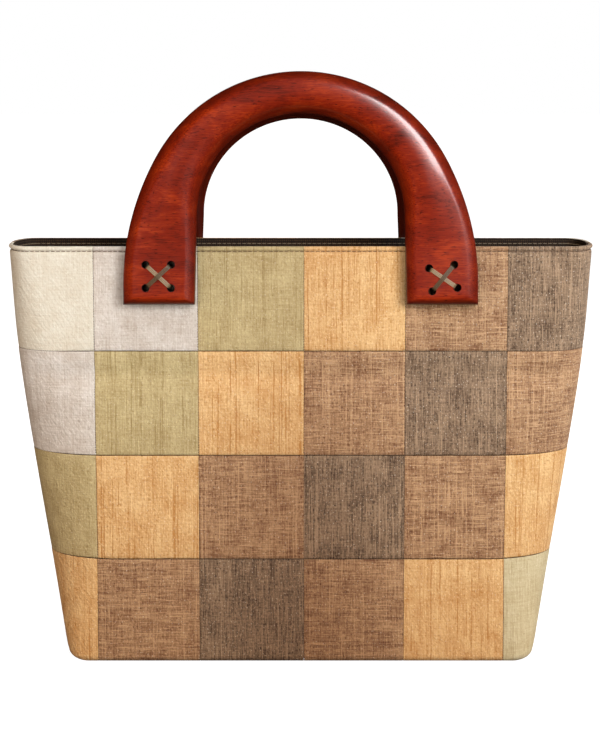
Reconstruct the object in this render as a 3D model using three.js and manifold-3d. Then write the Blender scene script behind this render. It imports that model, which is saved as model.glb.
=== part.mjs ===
// A patchwork tote: two panels of cloth squares on a flat base, a lining, and two arched wooden handles.
// Millimetres, +Z up, the front faces -Y, and the origin is on the floor under the middle of the bag.
import * as THREE from 'three';
import { mergeVertices } from 'three/addons/utils/BufferGeometryUtils.js';
import Module from 'manifold-3d';

// Patch grid
const PATCH = 58;
const ROWS = 4;
const COLUMNS = 6;
const RIM_HEIGHT = ROWS * PATCH;
const MIDDLE_SEAM = COLUMNS / 2;

// Cloth walls
const CLOTH = 1.6;
const LINING = 1.2;
const GAP = 0.3;
const PUFF = 0.8;
const WALL = CLOTH + GAP + LINING;

// Body depth, straight from the base to the rim, and the body's sections in between
const BASE_HALF_DEPTH = 52;
const RIM_HALF_DEPTH = 23.5;
const SECTIONS = [
  { height: 0, halfWidth: 131, cornerRun: 10, cornerDepth: 12, sideDip: 0 },
  { height: PATCH, halfWidth: 142.5, cornerRun: 27, cornerDepth: 30, sideDip: 0.8 },
  { height: 2 * PATCH, halfWidth: 152.5, cornerRun: 33, cornerDepth: 28, sideDip: 1.5 },
  { height: 3 * PATCH, halfWidth: 160.1, cornerRun: 20, cornerDepth: 19, sideDip: 1.5 },
  { height: RIM_HEIGHT, halfWidth: 164.6, cornerRun: 12, cornerDepth: 20, sideDip: 0 },
];

// How far, and up to which height, the ends of the body tuck in above the floor
const TUCK = 2;
const TUCK_RISE = 12;

// Column seams of a panel, as sewn: drawn together towards the base, the inner three a little to the right
const SEAM_TAPER = 0.019;
const SEAM_SHIFTS = [0, 0.3, 1.8, 0.8, 0];

// Turned bottom edge and its hem under the bag
const BOTTOM_ROUND = 4;
const HEM = 3;
const ROUND_STEPS = 2;

// Lip of the top row: the patch turned over the rim, above a stitched groove
const LIP_TURN = 2.2;
const LIP = [
  { inset: 0, drop: 3.4 },
  { inset: 0.45, drop: 2.7 },
  { inset: -0.4, drop: 2.1 },
  { inset: -0.4, drop: 1 },
  { inset: 0.5, drop: 0 },
  { inset: WALL - 0.8, drop: 0 },
  { inset: WALL, drop: 0.8 },
  { inset: WALL, drop: LIP_TURN },
  { inset: CLOTH, drop: LIP_TURN },
];

// Facets across a middle patch, up a patch, and along the flat, corner and side of a side patch
const PATCH_STEPS = 3;
const SIDE_PATCH_STEPS = [1, 6, 2];

// Handle: outline measured from the rim, up the leaning panel, and the height of its feet below the rim
const HANDLE_TOP = 96.7;
const HANDLE_FOOT = -32.2;
const OUTER_FOOT_HALF = 98.2;
const OUTER_TOP_RADIUS = 91.7;
const OUTER_TOP_ANGLE = THREE.MathUtils.degToRad(62);
const INNER_FOOT_HALF = 58.8;
const INNER_RADIUS = { front: 57.6, back: 56.2 };
const INNER_TOP = 73.4;
const HANDLE_STEPS = 28;
const HANDLE_SEAT = PUFF + GAP;
const BACK_HANDLE_DROP = 5;

// Handle section: flat with bevelled edges at the feet, rounded for the hand over the arch
const FOOT_SECTION = { thickness: 13.5, frontRun: 4.5, frontDepth: 3.6, backRun: 1.2, backDepth: 1.2 };
const ARCH_SECTION = { thickness: 16, frontRun: 11, frontDepth: 8.5, backRun: 7.5, backDepth: 5.5 };
const ARCH_FROM = -8;
const ARCH_TO = 45;
const SECTION_CORNER_STEPS = 3;
const FOOT_BEVEL = 4.5;

// Lacing holes, four in each foot, and the flat waxed cord that crosses between them
const HOLE_RADIUS = 2;
const HOLE_SIDES = 12;
const HOLE_HALF_ACROSS = 7;
const HOLE_HALF_UP = 6.4;
const LACING_ACROSS = 78.6;
const CORD_WIDTH = 2.2;
const CORD_THICKNESS = 0.9;
const CORD_RADIUS = 1;
const CORD_SIDES = 6;
const CORD_LEG_SHIFT = 0.7;
const CORD_STEPS = 6;
const CORD_FUSE = 0.1;
const LACINGS = [
  { name: 'lacing_front_left', side: 'front', across: -LACING_ACROSS, up: -16.6, tilt: 0 },
  { name: 'lacing_front_right', side: 'front', across: LACING_ACROSS, up: -17.5, tilt: THREE.MathUtils.degToRad(8) },
  { name: 'lacing_back_left', side: 'back', across: -LACING_ACROSS, up: -16.6, tilt: 0 },
  { name: 'lacing_back_right', side: 'back', across: LACING_ACROSS, up: -16.6, tilt: 0 },
];

// Cloth colours run along the diagonals: the row and column numbers added up give the place in this list
const DIAGONAL_COLOURS = [
  0xede0ca, 0xd6c6b7, 0xc3ad80, 0xe2b177, 0xac8360, 0x8f735b, 0xac8360, 0xe2b177, 0xd6bf95,
];
const LINING_COLOUR = 0x3a2c20;
const WOOD_COLOUR = 0x842710;
const CORD_COLOUR = 0x75583f;

const wasm = await Module();
wasm.setup();

// Triangles that fill a closed outline, turned the way that the outline runs
function capTriangles(outline) {
  const triangles = THREE.ShapeUtils.triangulateShape(outline, []);
  return THREE.ShapeUtils.isClockWise(outline) ? triangles.map(([a, b, c]) => [a, c, b]) : triangles;
}

// A closed solid through matching rings of points, with its first and last rings filled in
function loft(rings, flatten) {
  const size = rings[0].length;
  const positions = rings.flat().flatMap((point) => point.toArray());
  const indices = [];
  for (let ring = 0; ring + 1 < rings.length; ring += 1) {
    for (let corner = 0; corner < size; corner += 1) {
      const next = (corner + 1) % size;
      const low = ring * size;
      const high = low + size;
      indices.push(low + corner, low + next, high + next, low + corner, high + next, high + corner);
    }
  }
  const last = (rings.length - 1) * size;
  for (const [a, b, c] of capTriangles(rings[0].map(flatten))) {
    indices.push(a, c, b);
  }
  for (const [a, b, c] of capTriangles(rings.at(-1).map(flatten))) {
    indices.push(last + a, last + b, last + c);
  }
  const geometry = new THREE.BufferGeometry();
  geometry.setAttribute('position', new THREE.Float32BufferAttribute(positions, 3));
  geometry.setIndex(indices);
  return facingOut(geometry);
}

// The same geometry with its triangles turned so that its faces point out
function facingOut(geometry) {
  const index = geometry.getIndex();
  const position = geometry.getAttribute('position');
  const [a, b, c] = [new THREE.Vector3(), new THREE.Vector3(), new THREE.Vector3()];
  let volume = 0;
  for (let i = 0; i < index.count; i += 3) {
    a.fromBufferAttribute(position, index.getX(i));
    b.fromBufferAttribute(position, index.getX(i + 1));
    c.fromBufferAttribute(position, index.getX(i + 2));
    volume += a.dot(b.cross(c));
  }
  if (volume < 0) {
    geometry.setIndex([...index.array].reverse());
  }
  return geometry;
}

function toSolid(geometry) {
  const bare = geometry.clone();
  bare.deleteAttribute('normal');
  bare.deleteAttribute('uv');
  const merged = mergeVertices(bare);
  return new wasm.Manifold(new wasm.Mesh({
    numProp: 3,
    vertProperties: merged.getAttribute('position').array,
    triVerts: Uint32Array.from(merged.getIndex().array),
  }));
}

function toGeometry(solid) {
  const mesh = solid.getMesh();
  const geometry = new THREE.BufferGeometry();
  geometry.setAttribute('position', new THREE.Float32BufferAttribute(mesh.vertProperties, 3));
  geometry.setIndex([...mesh.triVerts]);
  return geometry;
}

function cutAll(geometry, cutters) {
  const solid = cutters.reduce((rest, cutter) => rest.subtract(toSolid(cutter)), toSolid(geometry));
  return toGeometry(solid);
}

function joinAll(geometries) {
  const [first, ...others] = geometries.map(toSolid);
  return toGeometry(others.reduce((whole, other) => whole.add(other), first));
}

function addMesh(group, name, geometry, look) {
  const mesh = new THREE.Mesh(geometry, new THREE.MeshStandardMaterial(look));
  mesh.geometry.computeVertexNormals();
  mesh.name = name;
  group.add(mesh);
}

// Body sections

const sectionColumns = ['halfWidth', 'cornerRun', 'cornerDepth', 'sideDip'];
const sectionSpline = new THREE.CubicInterpolant(
  SECTIONS.map((row) => row.height),
  SECTIONS.flatMap((row) => sectionColumns.map((column) => row[column])),
  sectionColumns.length,
);
const sectionCache = new Map();

// The section at a height: its quarter outline from the middle of the front to the side seam
function sectionAt(height) {
  if (!sectionCache.has(height)) {
    const [fullHalfWidth, cornerRun, cornerDepth, sideDip] = sectionSpline.evaluate(height);
    const below = Math.max(1 - height / TUCK_RISE, 0);
    const halfWidth = fullHalfWidth - TUCK * (1 - Math.sqrt(1 - below ** 2));
    const halfDepth = THREE.MathUtils.lerp(BASE_HALF_DEPTH, RIM_HALF_DEPTH, height / RIM_HEIGHT);
    const flatEnd = halfWidth - cornerRun;
    const path = new THREE.Path();
    path.moveTo(0, -halfDepth);
    path.lineTo(flatEnd, -halfDepth);
    path.absellipse(flatEnd, cornerDepth - halfDepth, cornerRun, cornerDepth, -Math.PI / 2, 0);
    path.lineTo(halfWidth, 0);
    const length = path.getLength();
    const sideLength = halfDepth - cornerDepth;
    sectionCache.set(height, { path, length, flatEnd, sideLength, sideDip });
  }
  return sectionCache.get(height);
}

// A point of the wall: distance along the cloth from the middle of the front, height, and depth into the wall
function wallPoint(along, height, inset) {
  const { path, length, sideLength, sideDip } = sectionAt(height);
  const fraction = Math.min(Math.abs(along) / length, 1);
  const point = path.getPointAt(fraction);
  const tangent = path.getTangentAt(fraction);
  const intoSide = Math.max(1 + point.y / sideLength, 0);
  const dip = sideDip * THREE.MathUtils.smoothstep(intoSide, 0, 1);
  const x = point.x - tangent.y * inset - dip;
  const y = point.y + tangent.x * inset;
  return new THREE.Vector3(along < 0 ? -x : x, y, height);
}

// Where a column seam, counted from the left, stands along the cloth at a height
function seamAt(seam, height) {
  const drawnIn = 1 - SEAM_TAPER * (1 - height / RIM_HEIGHT);
  return (seam - MIDDLE_SEAM) * PATCH * drawnIn + SEAM_SHIFTS[seam - 1];
}

// Distances along the cloth at which a right-hand side patch has a facet edge
function sidePatchStations(height, from, to) {
  const { flatEnd, length, sideLength } = sectionAt(height);
  const ends = [from, Math.max(from + 1, flatEnd), length - sideLength, to];
  const stations = [from];
  SIDE_PATCH_STEPS.forEach((steps, stretch) => {
    for (let step = 1; step <= steps; step += 1) {
      stations.push(THREE.MathUtils.lerp(ends[stretch], ends[stretch + 1], step / steps));
    }
  });
  return stations;
}

// Distances along the cloth at which a patch has a facet edge, from its left side to its right
function patchStations(column, height) {
  const clear = GAP / 2;
  if (column === 1) {
    return patchStations(COLUMNS, height).map((along) => -along).reverse();
  }
  if (column === COLUMNS) {
    return sidePatchStations(height, seamAt(COLUMNS - 1, height) + clear, sectionAt(height).length - clear);
  }
  const left = seamAt(column - 1, height) + clear;
  const right = seamAt(column, height) - clear;
  return Array.from({ length: PATCH_STEPS + 1 }, (_, step) => (
    THREE.MathUtils.lerp(left, right, step / PATCH_STEPS)
  ));
}

const crownAt = (fraction) => 1 - (2 * fraction - 1) ** 4;

// Points of the turned bottom edge, at a distance in from the outer face, from the floor upwards
function bottomTurn(inset) {
  const radius = BOTTOM_ROUND - inset;
  return Array.from({ length: ROUND_STEPS + 1 }, (_, step) => {
    const angle = (Math.PI / 2) * (1 - step / ROUND_STEPS);
    return { inset: BOTTOM_ROUND - radius * Math.cos(angle), height: BOTTOM_ROUND - radius * Math.sin(angle) };
  });
}

// The closed outline of a patch's wall, up the outer face and down the inner one; row 1 is the top row
function patchProfile(row) {
  const bottom = (ROWS - row) * PATCH + GAP / 2;
  const top = bottom + PATCH - GAP;
  const outer = [];
  for (let step = 1; step < PATCH_STEPS; step += 1) {
    const fraction = step / PATCH_STEPS;
    outer.push({ inset: 0, height: THREE.MathUtils.lerp(bottom, top, fraction), crown: crownAt(fraction) });
  }
  const lowerOuter = row < ROWS
    ? [{ inset: 0, height: bottom }]
    : [{ inset: BOTTOM_ROUND + HEM, height: 0 }, ...bottomTurn(0)];
  const lowerInner = row < ROWS
    ? [{ inset: CLOTH, height: bottom }]
    : [...bottomTurn(CLOTH).reverse(), { inset: BOTTOM_ROUND + HEM, height: CLOTH }];
  const upper = row > 1
    ? [{ inset: 0, height: top }, { inset: CLOTH, height: top }]
    : LIP.map(({ inset, drop }) => ({ inset, height: RIM_HEIGHT - drop }));
  return [...lowerOuter, ...outer, ...upper, ...lowerInner];
}

function patchGeometry(row, column) {
  const profile = patchProfile(row);
  const stationCount = patchStations(column, 0).length;
  const rings = [];
  for (let station = 0; station < stationCount; station += 1) {
    rings.push(profile.map(({ inset, height, crown = 0 }) => {
      const stations = patchStations(column, height);
      const fraction = (stations[station] - stations[0]) / (stations.at(-1) - stations[0]);
      return wallPoint(stations[station], height, inset - PUFF * crown * crownAt(fraction));
    }));
  }
  return loft(rings, (_, index) => new THREE.Vector2(profile[index].inset, profile[index].height));
}

// A level loop round the whole bag, at a depth into the wall, run so that its facets split as the patches' do
function levelLoop(height, inset) {
  const { length } = sectionAt(height);
  const right = [0, ...sidePatchStations(height, seamAt(COLUMNS - 1, height), length)];
  const front = [...right.slice(1).map((along) => -along).reverse(), ...right];
  const points = front.map((along) => wallPoint(along, height, inset));
  const halfTurn = points.slice(1, -1).map((point) => new THREE.Vector3(-point.x, -point.y, point.z));
  return [...points, ...halfTurn].reverse();
}

const fromAbove = (point) => new THREE.Vector2(point.x, point.y);

function liningGeometry() {
  const faceLoops = (inset, floor) => {
    const turn = bottomTurn(inset).map((place) => levelLoop(Math.max(place.height, floor), place.inset));
    const seams = SECTIONS.slice(1, -1).map((row) => levelLoop(row.height, inset));
    return [...turn, ...seams, levelLoop(RIM_HEIGHT - LIP_TURN - GAP, inset)];
  };
  const outer = faceLoops(CLOTH + GAP, CLOTH + GAP);
  const inner = faceLoops(WALL, WALL);
  return loft([...outer, ...inner.reverse()], fromAbove);
}

function baseGeometry() {
  const inset = BOTTOM_ROUND + HEM + GAP;
  return loft([levelLoop(0, inset), levelLoop(CLOTH, inset)], fromAbove);
}

// Handles, in the frame of the panel that carries them: x across, y out of the panel, z up from the rim

// Outer edge from foot to foot: straight feet, wide side arcs and a rounder top
function handleOuterEdge() {
  const topCentre = HANDLE_TOP - OUTER_TOP_RADIUS;
  const sideRun = OUTER_FOOT_HALF - OUTER_TOP_RADIUS * Math.sin(OUTER_TOP_ANGLE);
  const sideRadius = sideRun / (1 - Math.sin(OUTER_TOP_ANGLE));
  const sideX = OUTER_FOOT_HALF - sideRadius;
  const sideZ = topCentre - (sideRadius - OUTER_TOP_RADIUS) * Math.cos(OUTER_TOP_ANGLE);
  const joint = Math.PI / 2 - OUTER_TOP_ANGLE;
  const edge = new THREE.Path();
  edge.moveTo(-OUTER_FOOT_HALF, HANDLE_FOOT);
  edge.lineTo(-OUTER_FOOT_HALF, sideZ);
  edge.absarc(-sideX, sideZ, sideRadius, Math.PI, Math.PI - joint, true);
  edge.absarc(0, topCentre, OUTER_TOP_RADIUS, Math.PI - joint, joint, true);
  edge.absarc(sideX, sideZ, sideRadius, joint, 0, true);
  edge.lineTo(OUTER_FOOT_HALF, HANDLE_FOOT);
  return edge;
}

// Inner edge from foot to foot: legs that spread a little and a round arch
function handleInnerEdge(side) {
  const radius = INNER_RADIUS[side];
  const centre = INNER_TOP - radius;
  const edge = new THREE.Path();
  edge.moveTo(-INNER_FOOT_HALF, HANDLE_FOOT);
  edge.lineTo(-radius, centre);
  edge.absarc(0, centre, radius, Math.PI, 0, true);
  edge.lineTo(INNER_FOOT_HALF, HANDLE_FOOT);
  return edge;
}

// A rounded section from its inner edge to its outer edge
function handleRing(inner, outer, section) {
  const width = inner.distanceTo(outer);
  const { thickness, frontRun, frontDepth, backRun, backDepth } = section;
  const corners = [
    { across: backRun, out: backDepth, run: backRun, depth: backDepth, start: Math.PI },
    { across: width - backRun, out: backDepth, run: backRun, depth: backDepth, start: 1.5 * Math.PI },
    { across: width - frontRun, out: thickness - frontDepth, run: frontRun, depth: frontDepth, start: 0 },
    { across: frontRun, out: thickness - frontDepth, run: frontRun, depth: frontDepth, start: 0.5 * Math.PI },
  ];
  return corners.flatMap(({ across, out, run, depth, start }) => (
    Array.from({ length: SECTION_CORNER_STEPS + 1 }, (_, step) => {
      const angle = start + (Math.PI / 2) * (step / SECTION_CORNER_STEPS);
      const place = (across + run * Math.cos(angle)) / width;
      const spot = inner.clone().lerp(outer, place);
      return new THREE.Vector3(spot.x, -(out + depth * Math.sin(angle)), spot.y);
    })
  ));
}

function handleGeometry(side) {
  const innerEdge = handleInnerEdge(side);
  const outerEdge = handleOuterEdge();
  const bevelShare = FOOT_BEVEL / outerEdge.getLength();
  const shares = [0, bevelShare];
  for (let step = 1; step < HANDLE_STEPS; step += 1) {
    shares.push(step / HANDLE_STEPS);
  }
  shares.push(1 - bevelShare, 1);
  const rings = shares.map((share) => {
    const inner = innerEdge.getPointAt(share);
    const outer = outerEdge.getPointAt(share);
    const arch = THREE.MathUtils.smoothstep((inner.y + outer.y) / 2, ARCH_FROM, ARCH_TO);
    const section = {};
    for (const size of Object.keys(FOOT_SECTION)) {
      section[size] = THREE.MathUtils.lerp(FOOT_SECTION[size], ARCH_SECTION[size], arch);
    }
    if (share === 0 || share === 1) {
      section.thickness -= section.frontDepth;
      section.frontDepth = GAP;
      section.frontRun = GAP;
    }
    return handleRing(inner, outer, section);
  });
  return loft(rings, fromAbove);
}

const holeCorners = [
  { across: -1, up: -1 },
  { across: 1, up: -1 },
  { across: -1, up: 1 },
  { across: 1, up: 1 },
];

// The four hole centres of a lacing, or the four places of its cord, which lies at the holes' inner sides
function lacingPlaces(lacing, shift) {
  const turn = new THREE.Matrix4().makeRotationY(-lacing.tilt);
  const reach = 1 - shift / Math.hypot(HOLE_HALF_ACROSS, HOLE_HALF_UP);
  return holeCorners.map(({ across, up }) => (
    new THREE.Vector3(across * HOLE_HALF_ACROSS * reach, 0, up * HOLE_HALF_UP * reach)
      .applyMatrix4(turn)
      .add(new THREE.Vector3(lacing.across, 0, lacing.up))
  ));
}

// A round rod square to the panel, from one distance out of it to another
function rod(place, radius, sides, from, to) {
  const geometry = new THREE.CylinderGeometry(radius, radius, to - from, sides);
  geometry.translate(place.x, -(from + to) / 2, place.z);
  return geometry;
}

// One flat strand of cord over the face of the wood, raised in the middle where it crosses the other
function strand(start, end, rise) {
  const face = FOOT_SECTION.thickness + GAP;
  const sideways = end.clone().sub(start).normalize().cross(new THREE.Vector3(0, 1, 0));
  const rings = [];
  for (let step = 0; step <= CORD_STEPS; step += 1) {
    const share = step / CORD_STEPS;
    const middle = start.clone().lerp(end, share);
    const base = face + rise * Math.sin(Math.PI * share);
    rings.push([[-1, 0], [1, 0], [1, 1], [-1, 1]].map(([side, top]) => (
      middle.clone()
        .addScaledVector(sideways, (side * CORD_WIDTH) / 2)
        .add(new THREE.Vector3(0, -(base + top * CORD_THICKNESS), 0))
    )));
  }
  const alongSide = (point) => new THREE.Vector2(point.dot(sideways), point.y);
  return loft(rings, alongSide);
}

// A straight run of cord inside the bag between two legs
function insideRun(start, end, depth) {
  const length = start.distanceTo(end);
  const geometry = new THREE.CylinderGeometry(CORD_RADIUS, CORD_RADIUS, length, CORD_SIDES);
  const direction = end.clone().sub(start).normalize();
  geometry.applyQuaternion(new THREE.Quaternion().setFromUnitVectors(new THREE.Vector3(0, 1, 0), direction));
  const middle = start.clone().lerp(end, 0.5);
  geometry.translate(middle.x, -depth, middle.z);
  return geometry;
}

const insideDepth = -(HANDLE_SEAT + WALL + 2 * GAP + CORD_RADIUS);

function lacingGeometry(lacing) {
  const [lowLeft, lowRight, highLeft, highRight] = lacingPlaces(lacing, CORD_LEG_SHIFT);
  const legTop = FOOT_SECTION.thickness + GAP + CORD_THICKNESS - CORD_FUSE;
  const legs = [lowLeft, lowRight, highLeft, highRight].map((place) => (
    rod(place, CORD_RADIUS, CORD_SIDES, insideDepth, legTop)
  ));
  return joinAll([
    strand(highLeft, lowRight, 0),
    strand(lowLeft, highRight, CORD_THICKNESS - CORD_FUSE),
    ...legs,
    insideRun(lowLeft, lowRight, insideDepth),
    insideRun(highLeft, highRight, insideDepth),
  ]);
}

function woodHoles(lacing) {
  const through = FOOT_SECTION.thickness + 1;
  return lacingPlaces(lacing, 0).map((place) => rod(place, HOLE_RADIUS, HOLE_SIDES, -1, through));
}

function clothHoles(lacing) {
  const radius = CORD_RADIUS + GAP;
  return lacingPlaces(lacing, CORD_LEG_SHIFT).map((place) => (
    rod(place, radius, CORD_SIDES, insideDepth - CORD_RADIUS, 0)
  ));
}

// Where a handle's frame sits on its panel, with the panel's lean
const panelLean = Math.atan((BASE_HALF_DEPTH - RIM_HALF_DEPTH) / RIM_HEIGHT);

function seatMatrix(side) {
  const drop = side === 'back' ? BACK_HANDLE_DROP : 0;
  return new THREE.Matrix4()
    .makeTranslation(0, -RIM_HALF_DEPTH, RIM_HEIGHT)
    .multiply(new THREE.Matrix4().makeRotationX(-panelLean))
    .multiply(new THREE.Matrix4().makeTranslation(0, -HANDLE_SEAT, -drop));
}

function onPanel(geometry, side) {
  return geometry.clone().applyMatrix4(seatMatrix(side));
}

// Assembly: the back panel and its handle are the front ones turned half round

const bag = new THREE.Group();
const sides = { front: new THREE.Group(), back: new THREE.Group() };
sides.back.rotation.z = Math.PI;
bag.add(sides.front, sides.back);

const lacedColumns = { 2: -LACING_ACROSS, 5: LACING_ACROSS };
for (const [side, group] of Object.entries(sides)) {
  const lacings = LACINGS.filter((lacing) => lacing.side === side);
  for (let row = 1; row <= ROWS; row += 1) {
    for (let column = 1; column <= COLUMNS; column += 1) {
      const laced = row === 1 && lacings.find((lacing) => lacing.across === lacedColumns[column]);
      const whole = patchGeometry(row, column);
      const cutters = laced ? clothHoles(laced).map((hole) => onPanel(hole, side)) : [];
      const colour = DIAGONAL_COLOURS[row + column - 2];
      const geometry = laced ? cutAll(whole, cutters) : whole;
      addMesh(group, `${side}_patch_r${row}_c${column}`, geometry, { color: colour, roughness: 0.9 });
    }
  }

  const seat = new THREE.Group();
  seat.applyMatrix4(seatMatrix(side));
  group.add(seat);
  const wood = cutAll(handleGeometry(side), lacings.flatMap(woodHoles));
  addMesh(seat, `handle_${side}`, wood, { color: WOOD_COLOUR, roughness: 0.28 });
  for (const lacing of lacings) {
    addMesh(seat, lacing.name, lacingGeometry(lacing), { color: CORD_COLOUR, roughness: 0.7 });
  }
}

const liningHoles = LACINGS.flatMap((lacing) => clothHoles(lacing).map((hole) => {
  const placed = onPanel(hole, lacing.side);
  return lacing.side === 'back' ? placed.rotateZ(Math.PI) : placed;
}));
addMesh(bag, 'lining', cutAll(liningGeometry(), liningHoles), { color: LINING_COLOUR, roughness: 0.95 });
addMesh(bag, 'base_panel', baseGeometry(), { color: LINING_COLOUR, roughness: 0.95 });

export default bag;
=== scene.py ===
"""Looks of a patchwork tote bag: slub cloth squares, seams, lining, lacquered handles and cord lacings.

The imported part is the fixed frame. Every piece here stands on it, in metres, with +Z up and the front
towards -Y. Sizes that repeat the part's own are in millimetres, and turn to metres where a mesh is made.
"""

import math
from collections import namedtuple

import bpy
import numpy as np
from bpy.props import FloatProperty, FloatVectorProperty, PointerProperty
from mathutils import Matrix, Vector


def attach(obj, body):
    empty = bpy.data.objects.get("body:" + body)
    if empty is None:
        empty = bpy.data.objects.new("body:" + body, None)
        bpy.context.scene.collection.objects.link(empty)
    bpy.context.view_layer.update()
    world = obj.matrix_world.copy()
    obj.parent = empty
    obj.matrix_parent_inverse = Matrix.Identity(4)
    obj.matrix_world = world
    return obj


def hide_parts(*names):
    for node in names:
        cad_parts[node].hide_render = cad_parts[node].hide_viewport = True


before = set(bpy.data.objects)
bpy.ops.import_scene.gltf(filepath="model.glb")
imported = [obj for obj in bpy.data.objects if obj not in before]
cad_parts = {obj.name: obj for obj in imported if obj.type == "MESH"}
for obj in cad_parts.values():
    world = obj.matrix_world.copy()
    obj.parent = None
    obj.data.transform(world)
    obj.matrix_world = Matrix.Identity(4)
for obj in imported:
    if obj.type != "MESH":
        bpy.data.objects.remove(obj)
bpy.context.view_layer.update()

bl_info = {
    "name": "Patchwork Tote Bag",
    "version": (1, 0, 0),
    "blender": (4, 5, 0),
    "location": "View3D > Sidebar > Patchwork Bag",
    "description": "Dresses the tote's frame with cloth squares, stitches, lining, handles and lacings",
    "category": "Add Mesh",
}

MM = 0.001
BODY = "root"
CLOTH_UV = "cloth_mm"

# Points nearer than this in mm are merged, and edges flatter than these angles are shaded smooth
MERGE_DISTANCE = 0.001
CLOTH_SMOOTH = math.radians(50)
WOOD_SMOOTH = math.radians(28)

# Patch grid and cloth walls, as the frame has them
PATCH = 58.0
ROWS = 4
COLUMNS = 6
RIM_HEIGHT = ROWS * PATCH
CLOTH = 1.6
LINING = 1.2
GAP = 0.3
SEAM_GAP = 0.2
WALL = CLOTH + GAP + LINING

# Body depth, straight from the base to the rim, and the level sections at each row seam from the floor up.
# The loose cloth bends towards its corners a little more slowly than the frame's does.
BASE_HALF_DEPTH = 52.0
RIM_HALF_DEPTH = 23.5
Section = namedtuple("Section", "half_width corner_run corner_depth side_dip")
SECTIONS = (
    Section(131.0, 10.0, 12.0, 0.0),
    Section(143.3, 42.0, 31.0, 0.8),
    Section(153.0, 45.0, 30.0, 1.5),
    Section(160.3, 27.0, 21.0, 1.5),
    Section(165.0, 12.0, 20.0, 0.0),
)
SECTION_SAMPLES = 464
CORNER_SAMPLES = 40

# How far, and up to which height, the ends of the body tuck in above the floor
TUCK = 2.0
TUCK_RISE = 12.0

# Column seams of a panel, as sewn: drawn together towards the base, the inner three a little to the right
SEAM_TAPER = 0.019
SEAM_SHIFTS = (0.0, 0.3, 1.8, 0.8, 0.0)

# Turned bottom edge, its hem under the bag, and the base panel inside the hem
BOTTOM_ROUND = 4.0
HEM = 3.0
ROUND_CELLS = 8
BASE_THICKNESS = 1.6
BASE_EDGE_ROUND = 0.6

# Lining and base panel: cells round the bag and up the wall, and rings of the floor.
# The lining stands clear of the wall, is thinner than in the frame, and hangs in loose folds.
LOOP_CELLS = 130
LINING_LEVELS = 66
FLOOR_RINGS = (0.0, 0.04, 0.15, 0.3, 0.45, 0.6, 0.75, 0.88, 0.96)
LINING_CLEAR = 0.05
LINING_SHARE = 0.8
FOLD_SEED = 7
FOLD_WAVE = 46.0
FOLD_LEAN = 0.15
FOLD_REACH = 0.96
FOLD_RISE = (0.0, 60.0)
FOLD_DROP = (45.0, 110.0)

# Lip of the top row, above its stitched groove: depth into the wall and drop below the rim
LipPoint = namedtuple("LipPoint", "inset drop")
LIP = (
    LipPoint(0.0, 4.6),
    LipPoint(0.2, 3.6),
    LipPoint(0.95, 2.75),
    LipPoint(0.0, 1.95),
    LipPoint(-0.3, 1.2),
    LipPoint(0.15, 0.3),
    LipPoint(1.1, 0.0),
    LipPoint(1.95, 0.15),
    LipPoint(2.1, 1.1),
)
LIP_CELLS = 30
GROOVE_DROP = 2.75
GROOVE_INSET = 0.85
LINING_TOP_DROP = 0.2

# Fine shape of a patch: cells, swelling, turned edges, puckers along the seams and a soft dent across row 2.
# A square stands proud of the one above it at a row seam, and all of it is calmer where the wall bends aside.
PATCH_CELLS = 44
EDGE_CROWDING = 0.78
SWELL_RUN = 4.0
STEP_RUN = 5.0
COLUMN_DITCH = 0.5
COLUMN_DITCH_RUN = 0.7
SIDE_BEND = (112.0, 150.0)
SIDE_CALM = 0.85
PUCKER = 0.1
PUCKER_RUN = 4.0
PUCKER_WAVE = 6.5
UNEVEN = 0.16
UNEVEN_WAVE = 30.0
WAVE_SPREAD = (0.7, 1.5)
DENT_HEIGHT = 160.0
DENT_RUN = 6.5
DENT_END = (130.0, 162.0)
SEAM_ALLOWANCE = 3.5
UV_STEP = 173.0

# Handles: outline measured from the rim, up the leaning panel
HANDLE_TOP = 96.7
HANDLE_FOOT = -32.2
OUTER_FOOT_HALF = 98.2
OUTER_TOP_RADIUS = 91.7
OUTER_TOP_ANGLE = math.radians(62)
INNER_FOOT_HALF = 58.8
INNER_RADIUS = {"front": 57.6, "back": 56.2}
INNER_TOP = 73.4
HANDLE_SEAT = 1.1
BACK_HANDLE_DROP = 5.0
HANDLE_RINGS = 150
ARC_POINTS = 60

# Handle section: bevelled at the feet, rounded and crowned for the hand over the arch
HandleSection = namedtuple("HandleSection", "thickness front_run front_depth back_run back_depth power crown")
FOOT_SECTION = HandleSection(13.5, 6.0, 3.6, 1.2, 1.2, 1.5, 0.0)
ARCH_SECTION = HandleSection(12.2, 7.0, 6.5, 7.5, 5.5, 2.0, 4.6)
ARCH_FROM = -8.0
ARCH_TO = 45.0
CORNER_CELLS = 14
FACE_CELLS = 8
FOOT_BEVEL = 4.5
FOOT_BEVEL_RINGS = 6

# Painted shade that darkens the wood along a handle's edges, more so at its back and foot ends, and the
# places of its two materials
EDGE_SHADE_BAND = 9.0
BACK_SHADE_BAND = (2.0, 6.5)
BACK_SHADE = 1.5
# The second material is painted shade for the insides of the lacing holes
WOOD, HOLE_SHADE = 0, 1

# Lacing holes, four in each foot, and the flat waxed cord that crosses between them.
# The bend of a cord out of its hole is given by steps along the strand and depths below its top.
HOLE_RADIUS = 2.0
HOLE_FLARE = 0.25
FLARE_OVERLAP = 0.02
HOLE_SIDES = 40
DRILL_EXTRA = 4.0
HOLE_HALF_ACROSS = 7.0
HOLE_HALF_UP = 6.4
LACING_ACROSS = 78.6
CORD_LEG_SHIFT = 1.15
CORD_BEND = ((0.05, 3.0), (0.35, 1.0), (0.95, 0.15), (1.9, 0.0))
PLIES = 3
PLY_RADIUS = 0.36
PLY_SPACING = 0.8
PLY_SIDES = 8
PLY_STEP = 0.9
ROUTE_SAMPLES = 20
CROSSING_GAP = 0.15
OVER_RISE = 2 * PLY_RADIUS + CROSSING_GAP
UNDER_RISE = 0.1
TUBE_START = (0.31, 0.17, 0.93)
LEG_PARTS = 3
INSIDE_CLEAR = 1.0
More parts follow.
